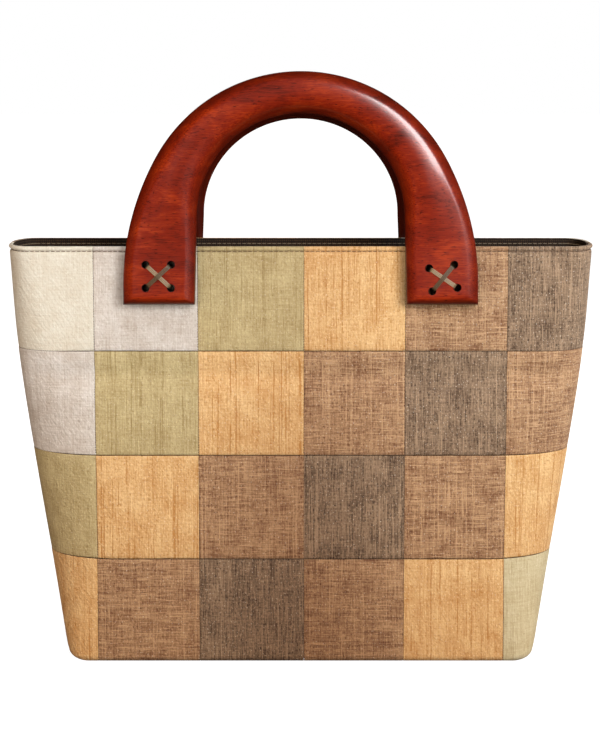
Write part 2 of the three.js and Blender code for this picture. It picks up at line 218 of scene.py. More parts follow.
INSIDE_DEPTH = -(HANDLE_SEAT + WALL + 2 * GAP + INSIDE_CLEAR)
Lacing = namedtuple("Lacing", "name side across up tilt")
LACINGS = (
    Lacing("lacing_front_left", "front", -LACING_ACROSS, -16.6, 0.0),
    Lacing("lacing_front_right", "front", LACING_ACROSS, -17.5, math.radians(8)),
    Lacing("lacing_back_left", "back", -LACING_ACROSS, -16.6, 0.0),
    Lacing("lacing_back_right", "back", LACING_ACROSS, -16.6, 0.0),
)

# Stitches: seams are closed by short ladder stitches, the rim and the lining by a line of topstitching.
# Points of the wall a probe's length apart give a stitch its directions.
LADDER_PITCH = 1.4
LADDER_LENGTH = 0.9
LADDER_INSET = 0.25
TOP_PITCH = 2.9
TOP_LENGTH = 2.7
LINING_STITCH_INSET = 0.12
LINING_STITCH_DROP = 0.4
STITCH_SIDES = 6
STITCH_RINGS = 4
PROBE = 0.5

# Cloth slots along the diagonals: row and column numbers added up give the place in this list
DIAGONAL_SLOTS = (
    "cloth_cream", "cloth_lavender", "cloth_sage", "cloth_gold", "cloth_brown",
    "cloth_charcoal", "cloth_brown", "cloth_gold", "cloth_pale_sage",
)

# Picture frame and camera, from the photograph's seams and outline
FRAME_HEIGHT_PX = 750
FOCAL_PX = 2139.0
SENSOR_MM = 36.0
CAMERA_PLACE = (-0.4, -1211.2, 365.0)
CAMERA_PITCH = math.radians(9.825)


def linear(hex_colour):
    """An sRGB hex colour as linear red, green, blue and alpha."""
    channels = [int(hex_colour[i:i + 2], 16) / 255 for i in (0, 2, 4)]
    return (*(c / 12.92 if c <= 0.04045 else ((c + 0.055) / 1.055) ** 2.4 for c in channels), 1.0)


def smoothstep(value, low, high):
    """0 below low, 1 above high, and a smooth change in between."""
    share = np.clip((value - low) / (high - low), 0.0, 1.0)
    return share * share * (3 - 2 * share)


def length(name, description, default_mm):
    """A length property in metres whose default is given in millimetres."""
    return FloatProperty(
        name=name, description=description, default=default_mm * MM, min=0.0, precision=5, unit="LENGTH",
    )


def power(name, description, watts):
    """A light's power property."""
    return FloatProperty(name=name, description=description, default=watts, min=0.0, unit="POWER")


def colour(name, description, hex_colour):
    """A colour property whose default is given as an sRGB hex value."""
    return FloatVectorProperty(
        name=name, description=description, default=linear(hex_colour),
        size=4, min=0.0, max=1.0, subtype="COLOR",
    )


class PatchworkBagSizes(bpy.types.PropertyGroup):
    """Fine sizes that a user may change without touching the frame."""

    puff: length("Patch puff", "How far the middle of a patch stands proud of its seams", 0.5)
    cloth: length("Cloth", "Thickness of a patch with its backing", 0.9)
    ditch: length("Seam ditch", "How deep a patch's edge turns in at a seam", 0.6)
    ditch_run: length("Seam ditch run", "How far from the seam a patch's edge starts to turn in", 1.4)
    step: length("Row step", "How far a square stands proud of the one above it at their seam", 0.5)
    dent: length("Soft dent", "Depth of the soft dent across the second row", 2.4)
    thread: length("Thread", "Diameter of the sewing thread", 0.42)
    lining_fold: length("Lining folds", "Depth of the loose lining's soft folds", 0.8)


class PatchworkBagColours(bpy.types.PropertyGroup):
    """Light and dark threads of each cloth, and the colours of wood, cord and thread."""

    cream_light: colour("Cream, light", "Light threads of the cream cloth", "e2ded0")
    cream_dark: colour("Cream, dark", "Dark threads of the cream cloth", "c9bba5")
    lavender_light: colour("Lavender, light", "Light threads of the lavender-grey cloth", "ded7cf")
    lavender_dark: colour("Lavender, dark", "Dark threads of the lavender-grey cloth", "b8a99b")
    sage_light: colour("Sage, light", "Light threads of the sage cloth", "cebd8f")
    sage_dark: colour("Sage, dark", "Dark threads of the sage cloth", "9d8759")
    gold_light: colour("Gold, light", "Light threads of the golden cloth", "efcb95")
    gold_dark: colour("Gold, dark", "Dark threads of the golden cloth", "be8749")
    brown_light: colour("Brown, light", "Light threads of the brown cloth", "c49e77")
    brown_dark: colour("Brown, dark", "Dark threads of the brown cloth", "72492f")
    charcoal_light: colour("Charcoal, light", "Light threads of the dark grey-brown cloth", "a78c71")
    charcoal_dark: colour("Charcoal, dark", "Dark threads of the dark grey-brown cloth", "4e3a2b")
    pale_sage_light: colour("Pale sage, light", "Light threads of the pale sage cloth", "dcd4b4")
    pale_sage_dark: colour("Pale sage, dark", "Dark threads of the pale sage cloth", "b3a27a")
    # The base tint is painted shade: it deepens and warms the squares towards the base, as the light falls
    # off there
    base_tint: colour("Base tint", "How the squares deepen and warm towards the base", "e3d7ca")
    middle_tint: colour("Middle tint", "How the squares deepen towards the middle of a panel", "d8cdc4")
    fleck: colour("Fleck", "Pale neps caught in the yarns", "efe4d2")
    lining_light: colour("Lining, light", "Light threads of the lining", "66492e")
    lining_dark: colour("Lining, dark", "Dark threads of the lining", "120a05")
    wood_light: colour("Wood, light", "Light figure of the stained wood", "a73507")
    wood_middle: colour("Wood, middle", "Main tone of the stained wood", "781a03")
    # The dark wood colour also paints the shade along the handles' edges, backs and foot ends
    wood_dark: colour("Wood, dark", "Dark streaks and burnished edges of the wood", "360902")
    # The bore colour is painted shade: it makes the insides of the lacing holes nearly black
    bore: colour("Bore", "Bare wood inside the lacing holes", "140704")
    # The cord's two colours also paint light on the strand that runs beneath and shade on the strand that
    # crosses over
    cord_light: colour("Cord, light", "Worn upper side of the waxed cord", "a48b67")
    cord_dark: colour("Cord, dark", "Waxed side of the cord", "4a3822")
    thread: colour("Thread", "Sewing thread of the seams", "503722")
    lining_thread: colour("Lining thread", "Topstitching seen on the lining", "7a6850")
    daylight: colour("Daylight", "White of the softboxes and cards", "ffffff")
    room: colour("Room", "Warm even light that the room throws into the shadows", "ffdab6")
    floor: colour("Floor", "Pale studio floor, as it throws light back", "8a8a8a")


class PatchworkBagStage(bpy.types.PropertyGroup):
    """Powers of the studio lights."""

    key: power("Key", "Softbox to the right of the camera, with its glare filtered out", 11.2)
    fill: power("Fill", "Softbox to the left of the camera, with its glare filtered out", 4.4)
    right_panel: power("Right panel", "Panel that lights the bag's right edge", 8.5)
    left_panel: power("Left panel", "Warm panel that lights the bag's left edge", 2.4)
    top: power("Top", "Panel overhead, with its glare filtered out", 3.3)
    back: power("Back", "Softbox behind the bag, with its glare filtered out", 9.0)
    far_card: power("Far right card", "Brightest card that only the lacquer mirrors", 25.0)
    right_card: power("Right card", "Card beside it that only the lacquer mirrors", 5.0)
    near_card: power("Near right card", "Faint card that only the lacquer mirrors", 0.5)
    left_card: power("Left card", "Weak card that only the lacquer mirrors", 0.3)
    surround: FloatProperty(name="Surround", description="Even light of the room", default=0.115, min=0.0)


def sizes_mm():
    """The sizes of the scene's property group as plain millimetres."""
    group = bpy.context.scene.patchwork_bag_sizes
    return {name: getattr(group, name) / MM for name in PatchworkBagSizes.__annotations__}


def palette():
    """The scene's colour property group."""
    return bpy.context.scene.patchwork_bag_colours


# Mesh helpers

def shaped_grid(name, places, uv):
    """Adds a grid, moves its points to places in millimetres, and lays out its cloth UV."""
    rows, columns = places.shape[:2]
    bpy.ops.mesh.primitive_grid_add(x_subdivisions=columns - 1, y_subdivisions=rows - 1, size=1.0)
    piece = bpy.context.object
    piece.name = name
    mesh = piece.data
    mesh.name = name
    mesh.vertices.foreach_set("co", (places * MM).ravel())
    corners = np.empty(len(mesh.loops), np.int32)
    mesh.loops.foreach_get("vertex_index", corners)
    mesh.uv_layers[0].name = CLOTH_UV
    mesh.uv_layers[CLOTH_UV].data.foreach_set("uv", uv.reshape(-1, 2)[corners].ravel())
    mesh.update()
    return piece


def in_edit_mode(piece, *steps):
    """Runs edit-mode operators, each given as a function, on the whole of a piece."""
    bpy.context.view_layer.objects.active = piece
    bpy.ops.object.mode_set(mode="EDIT")
    bpy.ops.mesh.select_all(action="SELECT")
    for step in steps:
        step()
    bpy.ops.object.mode_set(mode="OBJECT")


def merge_doubles():
    bpy.ops.mesh.remove_doubles(threshold=MERGE_DISTANCE * MM)


def fill_ends():
    bpy.ops.mesh.fill_holes(sides=0)


def face_out():
    bpy.ops.mesh.select_all(action="SELECT")
    bpy.ops.mesh.normals_make_consistent(inside=False)


def apply_modifier(piece, kind, **settings):
    """Adds a modifier with its settings and applies it."""
    modifier = piece.modifiers.new(kind.title(), kind)
    for setting, value in settings.items():
        setattr(modifier, setting, value)
    bpy.context.view_layer.objects.active = piece
    bpy.ops.object.modifier_apply(modifier=modifier.name)


def thicken(piece, thickness):
    """Gives a sheet its thickness, away from the side that its faces point to."""
    apply_modifier(piece, "SOLIDIFY", thickness=thickness * MM, offset=-1.0, use_even_offset=True)


def select(*pieces):
    """Selects only these pieces and makes the first one active."""
    bpy.ops.object.select_all(action="DESELECT")
    for piece in pieces:
        piece.select_set(True)
    bpy.context.view_layer.objects.active = pieces[0]


def dress(piece, materials, nodes=(), smooth_angle=CLOTH_SMOOTH):
    """Shades a finished piece smooth, gives it its materials if it has none, hangs it on the frame's body and
    hides the frame's parts that it stands for.
    """
    select(piece)
    bpy.ops.object.shade_smooth_by_angle(angle=smooth_angle)
    if not piece.data.materials:
        for material in materials:
            piece.data.materials.append(material)
    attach(piece, BODY)
    if nodes:
        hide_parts(*nodes)
    return piece


def join(pieces, name):
    """Joins several pieces into the first one and names it."""
    select(*pieces)
    bpy.ops.object.join()
    pieces[0].name = name
    pieces[0].data.name = name
    return pieces[0]


def smooth_through(points, count):
    """A smooth curve through points, sampled at count places that are even along its points."""
    points = np.asarray(points, float)
    padded = np.vstack([2 * points[0] - points[1], points, 2 * points[-1] - points[-2]])
    place = np.linspace(0, len(points) - 1, count)
    low = np.minimum(place.astype(int), len(points) - 2)
    t = (place - low)[:, None]
    before, start, end, after = (padded[low + k] for k in range(4))
    return 0.5 * (
        2 * start
        + (end - before) * t
        + (2 * before - 5 * start + 4 * end - after) * t ** 2
        + (3 * start - before - 3 * end + after) * t ** 3
    )


def run_along(points):
    """Distance along a line to each of its points."""
    return np.concatenate([[0], np.cumsum(np.linalg.norm(np.diff(points, axis=0), axis=1))])


def along_line(points, shares):
    """Points of a line at shares of its length."""
    points = np.asarray(points, float)
    run = run_along(points)
    return np.stack([np.interp(shares * run[-1], run, points[:, k]) for k in range(points.shape[1])], axis=1)


def waves(across, up, seed, wavelength, count=6):
    """A smooth, seeded unevenness between about -1 and 1, made of a few plane waves."""
    random = np.random.default_rng(seed)
    total = 0.0
    for _ in range(count):
        angle = random.uniform(0, math.pi)
        run = wavelength * random.uniform(*WAVE_SPREAD)
        phase = random.uniform(0, 2 * math.pi)
        total = total + np.sin(2 * math.pi * (across * math.cos(angle) + up * math.sin(angle)) / run + phase)
    return total / math.sqrt(2 * count)


def crowded(count):
    """Shares from 0 to 1 that lie closer together near both ends."""
    even = np.linspace(0, 1, count + 1)
    return even - EDGE_CROWDING * np.sin(2 * math.pi * even) / (2 * math.pi)


# Body of the bag

def section_at(height):
    """The level section at a height, on a smooth curve through the rows of SECTIONS."""
    samples = smooth_through(SECTIONS, SECTION_SAMPLES + 1)
    place = np.clip(height / RIM_HEIGHT, 0, 1) * SECTION_SAMPLES
    marks = np.arange(SECTION_SAMPLES + 1)
    section = Section(*(np.interp(place, marks, samples[:, k]) for k in range(len(Section._fields))))
    below = max(1 - height / TUCK_RISE, 0)
    return section._replace(half_width=section.half_width - TUCK * (1 - math.sqrt(1 - below ** 2)))


def half_depth_at(height):
    return BASE_HALF_DEPTH + (RIM_HALF_DEPTH - BASE_HALF_DEPTH) * height / RIM_HEIGHT


def quarter_outline(height):
    """The quarter outline from the middle of the front to the side seam: run, points and tangents."""
    section = section_at(height)
    depth = half_depth_at(height)
    angle = np.linspace(0, math.pi / 2, CORNER_SAMPLES)
    corner = np.stack([
        section.half_width - section.corner_run * (1 - np.sin(angle)),
        section.corner_depth * (1 - np.cos(angle)) - depth,
    ], axis=1)
    turn = np.stack([section.corner_run * np.cos(angle), section.corner_depth * np.sin(angle)], axis=1)
    points = np.vstack([[0, -depth], corner, [section.half_width, 0]])
    tangents = np.vstack([[1, 0], turn, [0, 1]])
    tangents /= np.linalg.norm(tangents, axis=1)[:, None]
    return run_along(points), points, tangents


def side_run(height):
    """Distance along the cloth from the middle of the front to the side seam."""
    return quarter_outline(height)[0][-1]


def wall_points(along, height, inset):
    """Points of the wall at one height: distance along the cloth from the middle, and depth into the wall."""
    run, points, tangents = quarter_outline(height)
    section = section_at(height)
    along = np.asarray(along, float)
    place = np.minimum(np.abs(along), run[-1])
    x, y = (np.interp(place, run, points[:, k]) for k in range(2))
    tangent_x, tangent_y = (np.interp(place, run, tangents[:, k]) for k in range(2))
    size = np.hypot(tangent_x, tangent_y)
    into_side = np.maximum(1 + y / (half_depth_at(height) - section.corner_depth), 0)
    dip = section.side_dip * smoothstep(into_side, 0, 1)
    wall_x = x - inset * tangent_y / size - dip
    wall_y = y + inset * tangent_x / size
    return np.stack([np.copysign(wall_x, along), wall_y, np.full_like(x, height)], axis=-1)


def turned_to(side, points):
    """Points of the front as they are, or turned half round for the back."""
    return points * np.array([-1, -1, 1]) if side == "back" else points


def dent_at(along, height):
    """Share of the soft dent that runs across a panel and ends before the sides."""
    away = (height - DENT_HEIGHT) / DENT_RUN
    return np.exp(-away ** 2) * (1 - smoothstep(np.abs(along), *DENT_END))


def seam_at(seam, height):
    """Where a column seam, counted from the left, stands along the cloth at a height."""
    drawn_in = 1 - SEAM_TAPER * (1 - height / RIM_HEIGHT)
    return (seam - COLUMNS / 2) * PATCH * drawn_in + SEAM_SHIFTS[seam - 1]


def column_edges(column, height):
    """Where a patch starts and ends along the cloth at a height."""
    clear = SEAM_GAP / 2
    left = -side_run(height) if column == 1 else seam_at(column - 1, height)
    right = side_run(height) if column == COLUMNS else seam_at(column, height)
    return left + clear, right - clear


PatchProfile = namedtuple("PatchProfile", "inset height to_low to_high run")


def patch_profile(row):
    """A patch from its lower to its upper end: inset, height, distances to its row seams, and run."""
    low_seam = (ROWS - row) * PATCH
    high_seam = low_seam + PATCH
    bottom = low_seam + SEAM_GAP / 2
    top = high_seam - SEAM_GAP / 2
    lower, upper = np.empty((0, 2)), np.empty((0, 2))
    if row == ROWS:
        angle = np.linspace(math.pi / 2, 0, ROUND_CELLS + 1)
        bend = np.stack([BOTTOM_ROUND * (1 - np.cos(angle)), BOTTOM_ROUND * (1 - np.sin(angle))], axis=1)
        lower = np.vstack([[BOTTOM_ROUND + HEM, 0], [BOTTOM_ROUND + HEM / 2, 0], bend])
        bottom = BOTTOM_ROUND
    if row == 1:
        lip = smooth_through(LIP, LIP_CELLS + 1)
        upper = np.stack([lip[:, 0], RIM_HEIGHT - lip[:, 1]], axis=1)
        top = upper[0, 1]
    face_height = bottom + (top - bottom) * crowded(PATCH_CELLS)
    face = np.stack([np.zeros_like(face_height), face_height], axis=1)
    face = face[1:] if len(lower) else face
    face = face[:-1] if len(upper) else face
    line = np.vstack([lower, face, upper])
    to_low = np.full(len(line), PATCH) if row == ROWS else line[:, 1] - low_seam
    to_high = np.full(len(line), PATCH) if row == 1 else high_seam - line[:, 1]
    return PatchProfile(line[:, 0], line[:, 1], to_low, to_high, run_along(line))


def turned_in(edge, depth, run):
    """How far a patch's edge turns in at a distance from its seam, on a quarter round."""
    share = 1 - np.clip(edge / run, 0, 1)
    return depth * (1 - np.sqrt(1 - share ** 2))


def patch_piece(side, row, column, sizes):
    """One cloth square: swollen between its seams, turned in along them, puckered and a little uneven."""
    seed = [row, column, 0 if side == "front" else 1]
    profile = patch_profile(row)
    shares = crowded(PATCH_CELLS)
    places, uv = [], []
    for inset, height, to_low, to_high, run in zip(*profile):
        left, right = column_edges(column, height)
        along = left + (right - left) * shares
        side_edge = np.minimum(along - left, right - along) + SEAM_GAP / 2
        edge = min(to_low, to_high)
        step = sizes["step"] * (math.exp(-to_high / STEP_RUN) - math.exp(-to_low / STEP_RUN))
        swell = sizes["puff"] * (1 - np.exp(-side_edge / SWELL_RUN)) * (1 - math.exp(-edge / SWELL_RUN))
        turn = np.maximum(
            turned_in(side_edge, sizes["ditch"] * COLUMN_DITCH, sizes["ditch_run"] * COLUMN_DITCH_RUN),
            turned_in(edge, sizes["ditch"], sizes["ditch_run"]),
        )
        pucker = PUCKER * (
            np.exp(-side_edge / PUCKER_RUN) * waves(0 * along, run, [*seed, 1], PUCKER_WAVE)
            + math.exp(-edge / PUCKER_RUN) * waves(along, 0 * along, [*seed, 2], PUCKER_WAVE)
        )
        sewn = swell + step - turn + pucker
        soft = UNEVEN * waves(along, run, [*seed, 3], UNEVEN_WAVE) * (1 - np.exp(-side_edge / SWELL_RUN))
        loose = 1 - SIDE_CALM * smoothstep(np.abs(along), *SIDE_BEND)
        out = loose * np.where(turn > 0, sewn + np.minimum(soft, 0), sewn + soft)
        out = out - sizes["dent"] * dent_at(along, height)
        below_lip = smoothstep(RIM_HEIGHT - height, GROOVE_DROP, 2 * GROOVE_DROP)
        on_face = smoothstep(height, 0, BOTTOM_ROUND) * below_lip
        places.append(wall_points(along, height, inset - out * on_face + turn * (1 - on_face)))
        cloth_up = np.full_like(along, run + UV_STEP * (row + ROWS * seed[-1]))
        uv.append(np.stack([along + UV_STEP * column, cloth_up], axis=-1))
    width = np.mean([np.ptp(column_edges(column, height)) for height in profile.height])
    piece = shaped_grid(f"{side}_cloth_r{row}_c{column}", turned_to(side, np.array(places)), np.array(uv))
    thicken(piece, sizes["cloth"])
    flat = ((width + 2 * SEAM_ALLOWANCE) * MM, (profile.run[-1] + 2 * SEAM_ALLOWANCE) * MM)
    return piece, flat


class PATCHWORK_BAG_OT_patches(bpy.types.Operator):
    """Make the cloth squares of both panels"""

    bl_idname = "patchwork_bag.patches"
    bl_label = "Cloth Squares"

    def execute(self, context):
        sizes = sizes_mm()
        cloths = cloth_materials()
        for side in ("front", "back"):
            for row in range(1, ROWS + 1):
                for column in range(1, COLUMNS + 1):
                    piece, flat = patch_piece(side, row, column, sizes)
                    slot = DIAGONAL_SLOTS[row + column - 2]
                    dress(piece, [cloths[slot]], [f"{side}_patch_r{row}_c{column}"])
        return {"FINISHED"}


# Stitches

def surface_frames(along, height, inset):
    """Centres and axes (along, up, out) of the wall at distances along the cloth and heights."""
    centres, axes = [], []
    for run, level, depth in zip(along, height, inset):
        near = wall_points(np.array([run - PROBE, run + PROBE]), level, depth)
        centre = wall_points(np.array([run]), level, depth)[0]
        above = wall_points(np.array([run]), min(level + PROBE, RIM_HEIGHT), depth)[0]
        below = wall_points(np.array([run]), max(level - PROBE, 0), depth)[0]
        sideways = near[1] - near[0]
        upwards = above - below
        sideways = sideways / np.linalg.norm(sideways)
        outwards = np.cross(sideways, upwards)
        outwards = outwards / np.linalg.norm(outwards)
        centres.append(centre)
        axes.append(np.stack([sideways, np.cross(outwards, sideways), outwards]))
    return np.array(centres), np.array(axes)


def stitch_field(name, centres, directions, outwards, stitch_length, diameter):
    """Many like stitches as one mesh: a small stretched ball is modelled once and copied to each place."""
    bpy.ops.mesh.primitive_uv_sphere_add(segments=STITCH_SIDES, ring_count=STITCH_RINGS, radius=0.5)
    ball = bpy.context.object
    shape = np.array([v.co for v in ball.data.vertices]) * [diameter, diameter, stitch_length]
    faces = [np.array(face.vertices) for face in ball.data.polygons]
    bpy.data.objects.remove(ball)
    across = np.cross(directions, outwards)
    axes = np.stack([across, outwards, directions], axis=1)
    points = np.einsum("vk,nkx->nvx", shape, axes) + centres[:, None, :]
    copied = [(face + len(shape) * copy).tolist() for copy in range(len(centres)) for face in faces]
    mesh = bpy.data.meshes.new(name)
    mesh.from_pydata((points.reshape(-1, 3) * MM).tolist(), [], copied)
    piece = bpy.data.objects.new(name, mesh)
    bpy.context.scene.collection.objects.link(piece)
    in_edit_mode(piece, face_out)
    return piece


def seam_stitches(side, sizes):
    """Ladder stitches across every column and row seam of a panel, and across its right-hand side seam."""
    levels = np.arange(LADDER_PITCH, RIM_HEIGHT - 2 * GROOVE_DROP, LADDER_PITCH)
    upright = np.ones_like(levels)
    seams = [(seam_at(seam, levels), levels, upright) for seam in range(1, COLUMNS)]
    seams.append(([side_run(level) for level in levels], levels, upright))
    for seam in range(1, ROWS):
        end = side_run(seam * PATCH)
        runs = np.arange(LADDER_PITCH - end, end, LADDER_PITCH)
        seams.append((runs, np.full_like(runs, seam * PATCH), np.zeros_like(runs)))
    along, height, upright = (np.concatenate(part) for part in zip(*seams))
    centres, axes = surface_frames(along, height, LADDER_INSET + sizes["dent"] * dent_at(along, height))
    directions = np.where(upright[:, None] > 0, axes[:, 0], axes[:, 1])
    return stitch_field(
        f"{side}_seam_stitches", turned_to(side, centres), turned_to(side, directions),
        turned_to(side, axes[:, 2]), LADDER_LENGTH, sizes["thread"],
    )


def rim_stitches(name, inset, drop, sizes):
    """A line of topstitching round the rim, at a depth into the wall and a drop below the rim."""
    height = RIM_HEIGHT - drop
    runs = np.arange(-side_run(height), side_run(height) - TOP_PITCH / 2, TOP_PITCH)
    centres, axes = surface_frames(runs, np.full_like(runs, height), np.full_like(runs, inset))
    both = [np.concatenate([part, turned_to("back", part)]) for part in (centres, axes[:, 0], axes[:, 2])]
    return stitch_field(name, *both, TOP_LENGTH, sizes["thread"])


class PATCHWORK_BAG_OT_stitches(bpy.types.Operator):
    """Make the stitches of the seams and the rim"""

    bl_idname = "patchwork_bag.stitches"
    bl_label = "Seam and Rim Stitches"

    def execute(self, context):
        sizes = sizes_mm()
        thread = thread_material("Spun polyester thread", palette().thread)
        for side in ("front", "back"):
            dress(seam_stitches(side, sizes), [thread])
        dress(rim_stitches("rim_stitches", GROOVE_INSET, GROOVE_DROP, sizes), [thread])
        return {"FINISHED"}


# Lining and base

def level_loop(height, inset, count, dent=0.0):
    """A closed loop round the bag at a height and a depth into the wall, that ends on its first point."""
    run = side_run(height)
    along = np.linspace(-run, run, count + 1)
    front = wall_points(along, height, inset + dent * dent_at(along, height))
    return np.vstack([front, turned_to("back", front[1:])]), np.concatenate([along, along[1:] + 2 * run])


def lining_piece(sizes):
    """The loose lining, seen from inside: a floor, a turned edge and walls with soft folds up to the rim."""
    floor_loop = level_loop(WALL, BOTTOM_ROUND, LOOP_CELLS)[0]
    places = [floor_loop * [ring, ring, 1] for ring in FLOOR_RINGS]
    uv = [loop[:, :2] for loop in places]
    angle = np.linspace(math.pi / 2, 0, ROUND_CELLS + 1)
    turn = BOTTOM_ROUND - WALL
    levels = [(BOTTOM_ROUND - turn * math.cos(a), BOTTOM_ROUND - turn * math.sin(a)) for a in angle]
    heights = np.linspace(BOTTOM_ROUND, RIM_HEIGHT - LINING_TOP_DROP, LINING_LEVELS + 1)[1:]
    levels += [(WALL + LINING_CLEAR, height) for height in heights]
    for inset, height in levels:
        loop, along = level_loop(height, inset, LOOP_CELLS, sizes["dent"])
        slack = smoothstep(height, *FOLD_RISE) * smoothstep(RIM_HEIGHT - height, *FOLD_DROP)
        fold = slack * (0.5 + 0.5 * waves(along, FOLD_LEAN * height, [FOLD_SEED], FOLD_WAVE))
        middle = loop * [1 - sizes["lining_fold"] / SECTIONS[0].half_width, FOLD_REACH, 1]
        places.append(loop + (middle - loop) * fold[:, None])
        uv.append(np.stack([along, np.full_like(along, height)], axis=1))
    places = np.array(places)[:, ::-1]
    uv = np.array(uv)[:, ::-1]
    piece = shaped_grid("lining_cloth", places, uv)
    in_edit_mode(piece, merge_doubles)
    thicken(piece, LINING * LINING_SHARE)
    return piece


class PATCHWORK_BAG_OT_lining(bpy.types.Operator):
    """Make the lining and the topstitching that shows on it"""

    bl_idname = "patchwork_bag.lining"
    bl_label = "Lining"

    def execute(self, context):
        sizes = sizes_mm()
        piece = dress(lining_piece(sizes), [lining_material()], ["lining"])
        round_run = 4 * side_run(RIM_HEIGHT / 2) + 2 * SEAM_ALLOWANCE
        thread = thread_material("Dark spun polyester thread", palette().lining_thread)
        inset, down = WALL + LINING_STITCH_INSET, GROOVE_DROP + LINING_STITCH_DROP
        dress(rim_stitches("lining_stitches", inset, down, sizes), [thread])
        return {"FINISHED"}


def base_piece():
    """The flat base panel with softly rounded edges, standing on the floor inside the patches' hem."""
    inset = BOTTOM_ROUND + HEM + GAP
    outline = level_loop(0, inset, LOOP_CELLS)[0]
    reach = np.array(FLOOR_RINGS)
    angle = np.linspace(-math.pi / 2, math.pi / 2, ROUND_CELLS + 1)
    half = BASE_THICKNESS / 2
    places = [outline * [ring, ring, 1] for ring in reach]
    for a in angle:
        shrink = 1 - BASE_EDGE_ROUND * (1 - math.cos(a)) / BASE_HALF_DEPTH
        places.append(outline * [shrink, shrink, 1] + [0, 0, half + half * math.sin(a)])
    places += [outline * [ring, ring, 1] + [0, 0, BASE_THICKNESS] for ring in reach[::-1]]
    places = np.array(places)
    piece = shaped_grid("base_cloth", places, places[:, :, :2])
    in_edit_mode(piece, merge_doubles, face_out)
    return piece, np.ptp(outline, axis=0)


class PATCHWORK_BAG_OT_base(bpy.types.Operator):
    """Make the cloth-covered base panel"""

    bl_idname = "patchwork_bag.base"
    bl_label = "Base Panel"

    def execute(self, context):
        piece, extent = base_piece()
        dress(piece, [lining_material()], ["base_panel"])
        return {"FINISHED"}


# Handles

def on_panel(side, places):
    """Points of a handle's frame (across, out as -y, up from the rim) set on their leaning panel."""
    lean = math.atan((BASE_HALF_DEPTH - RIM_HALF_DEPTH) / RIM_HEIGHT)
    drop = BACK_HANDLE_DROP if side == "back" else 0.0
    seat = (
        Matrix.Translation((0, -RIM_HALF_DEPTH, RIM_HEIGHT))
        @ Matrix.Rotation(-lean, 4, "X")
        @ Matrix.Translation((0, -HANDLE_SEAT, -drop))
    )
    turn = np.array(seat)
    return turned_to(side, np.asarray(places) @ turn[:3, :3].T + turn[:3, 3])


def arc(centre_x, centre_z, radius, start, end):
    """Points of an arc in a handle's plane."""
    angle = np.linspace(start, end, ARC_POINTS)
    return np.stack([centre_x + radius * np.cos(angle), centre_z + radius * np.sin(angle)], axis=1)


def handle_outer_edge():
    """Outer edge from foot to foot: straight feet, wide side arcs and a rounder top."""
    top_centre = HANDLE_TOP - OUTER_TOP_RADIUS
    side_reach = OUTER_FOOT_HALF - OUTER_TOP_RADIUS * math.sin(OUTER_TOP_ANGLE)
    side_radius = side_reach / (1 - math.sin(OUTER_TOP_ANGLE))
    side_x = OUTER_FOOT_HALF - side_radius
    side_z = top_centre - (side_radius - OUTER_TOP_RADIUS) * math.cos(OUTER_TOP_ANGLE)
    joint = math.pi / 2 - OUTER_TOP_ANGLE
    return np.vstack([
        [-OUTER_FOOT_HALF, HANDLE_FOOT],
        arc(-side_x, side_z, side_radius, math.pi, math.pi - joint),
        arc(0, top_centre, OUTER_TOP_RADIUS, math.pi - joint, joint),
        arc(side_x, side_z, side_radius, joint, 0),
        [OUTER_FOOT_HALF, HANDLE_FOOT],
    ])


def handle_inner_edge(side):
    """Inner edge from foot to foot: legs that spread a little and a round arch."""
    radius = INNER_RADIUS[side]
    return np.vstack([
        [-INNER_FOOT_HALF, HANDLE_FOOT],
        arc(0, INNER_TOP - radius, radius, math.pi, 0),
        [INNER_FOOT_HALF, HANDLE_FOOT],
    ])


def handle_ring(width, section):
    """A section from the inner edge (across 0) to the outer edge (across width): across and out, closed."""
    angle = np.linspace(0, math.pi / 2, CORNER_CELLS + 1)
    bulge = np.sin(angle) ** (2 / section.power)
    flank = np.cos(angle) ** (2 / section.power)
    back_bulge, back_flank = np.sin(angle), np.cos(angle)
    front_out = section.thickness - section.front_depth * (1 - bulge)
    back_out = section.back_depth * (1 - back_bulge)
    share = np.linspace(0, 1, FACE_CELLS + 1)[1:-1]
    face_across = width - section.front_run - share * (width - 2 * section.front_run)
    flat_out = np.full_like(share, section.thickness)
    across = np.concatenate([
        section.back_run * (1 - back_flank),
        (width - section.back_run * (1 - back_flank))[::-1],
        width - section.front_run * (1 - flank),
        face_across,
        (section.front_run * (1 - flank))[::-1],
    ])
    out = np.concatenate([back_out, back_out[::-1], front_out, flat_out, front_out[::-1]])
    crowned = section.crown * np.clip(4 * (across / width) * (1 - across / width), 0, 1)
    out = out + crowned * smoothstep(out, section.thickness / 2, section.thickness)
    return np.append(across, across[0]), np.append(out, out[0])


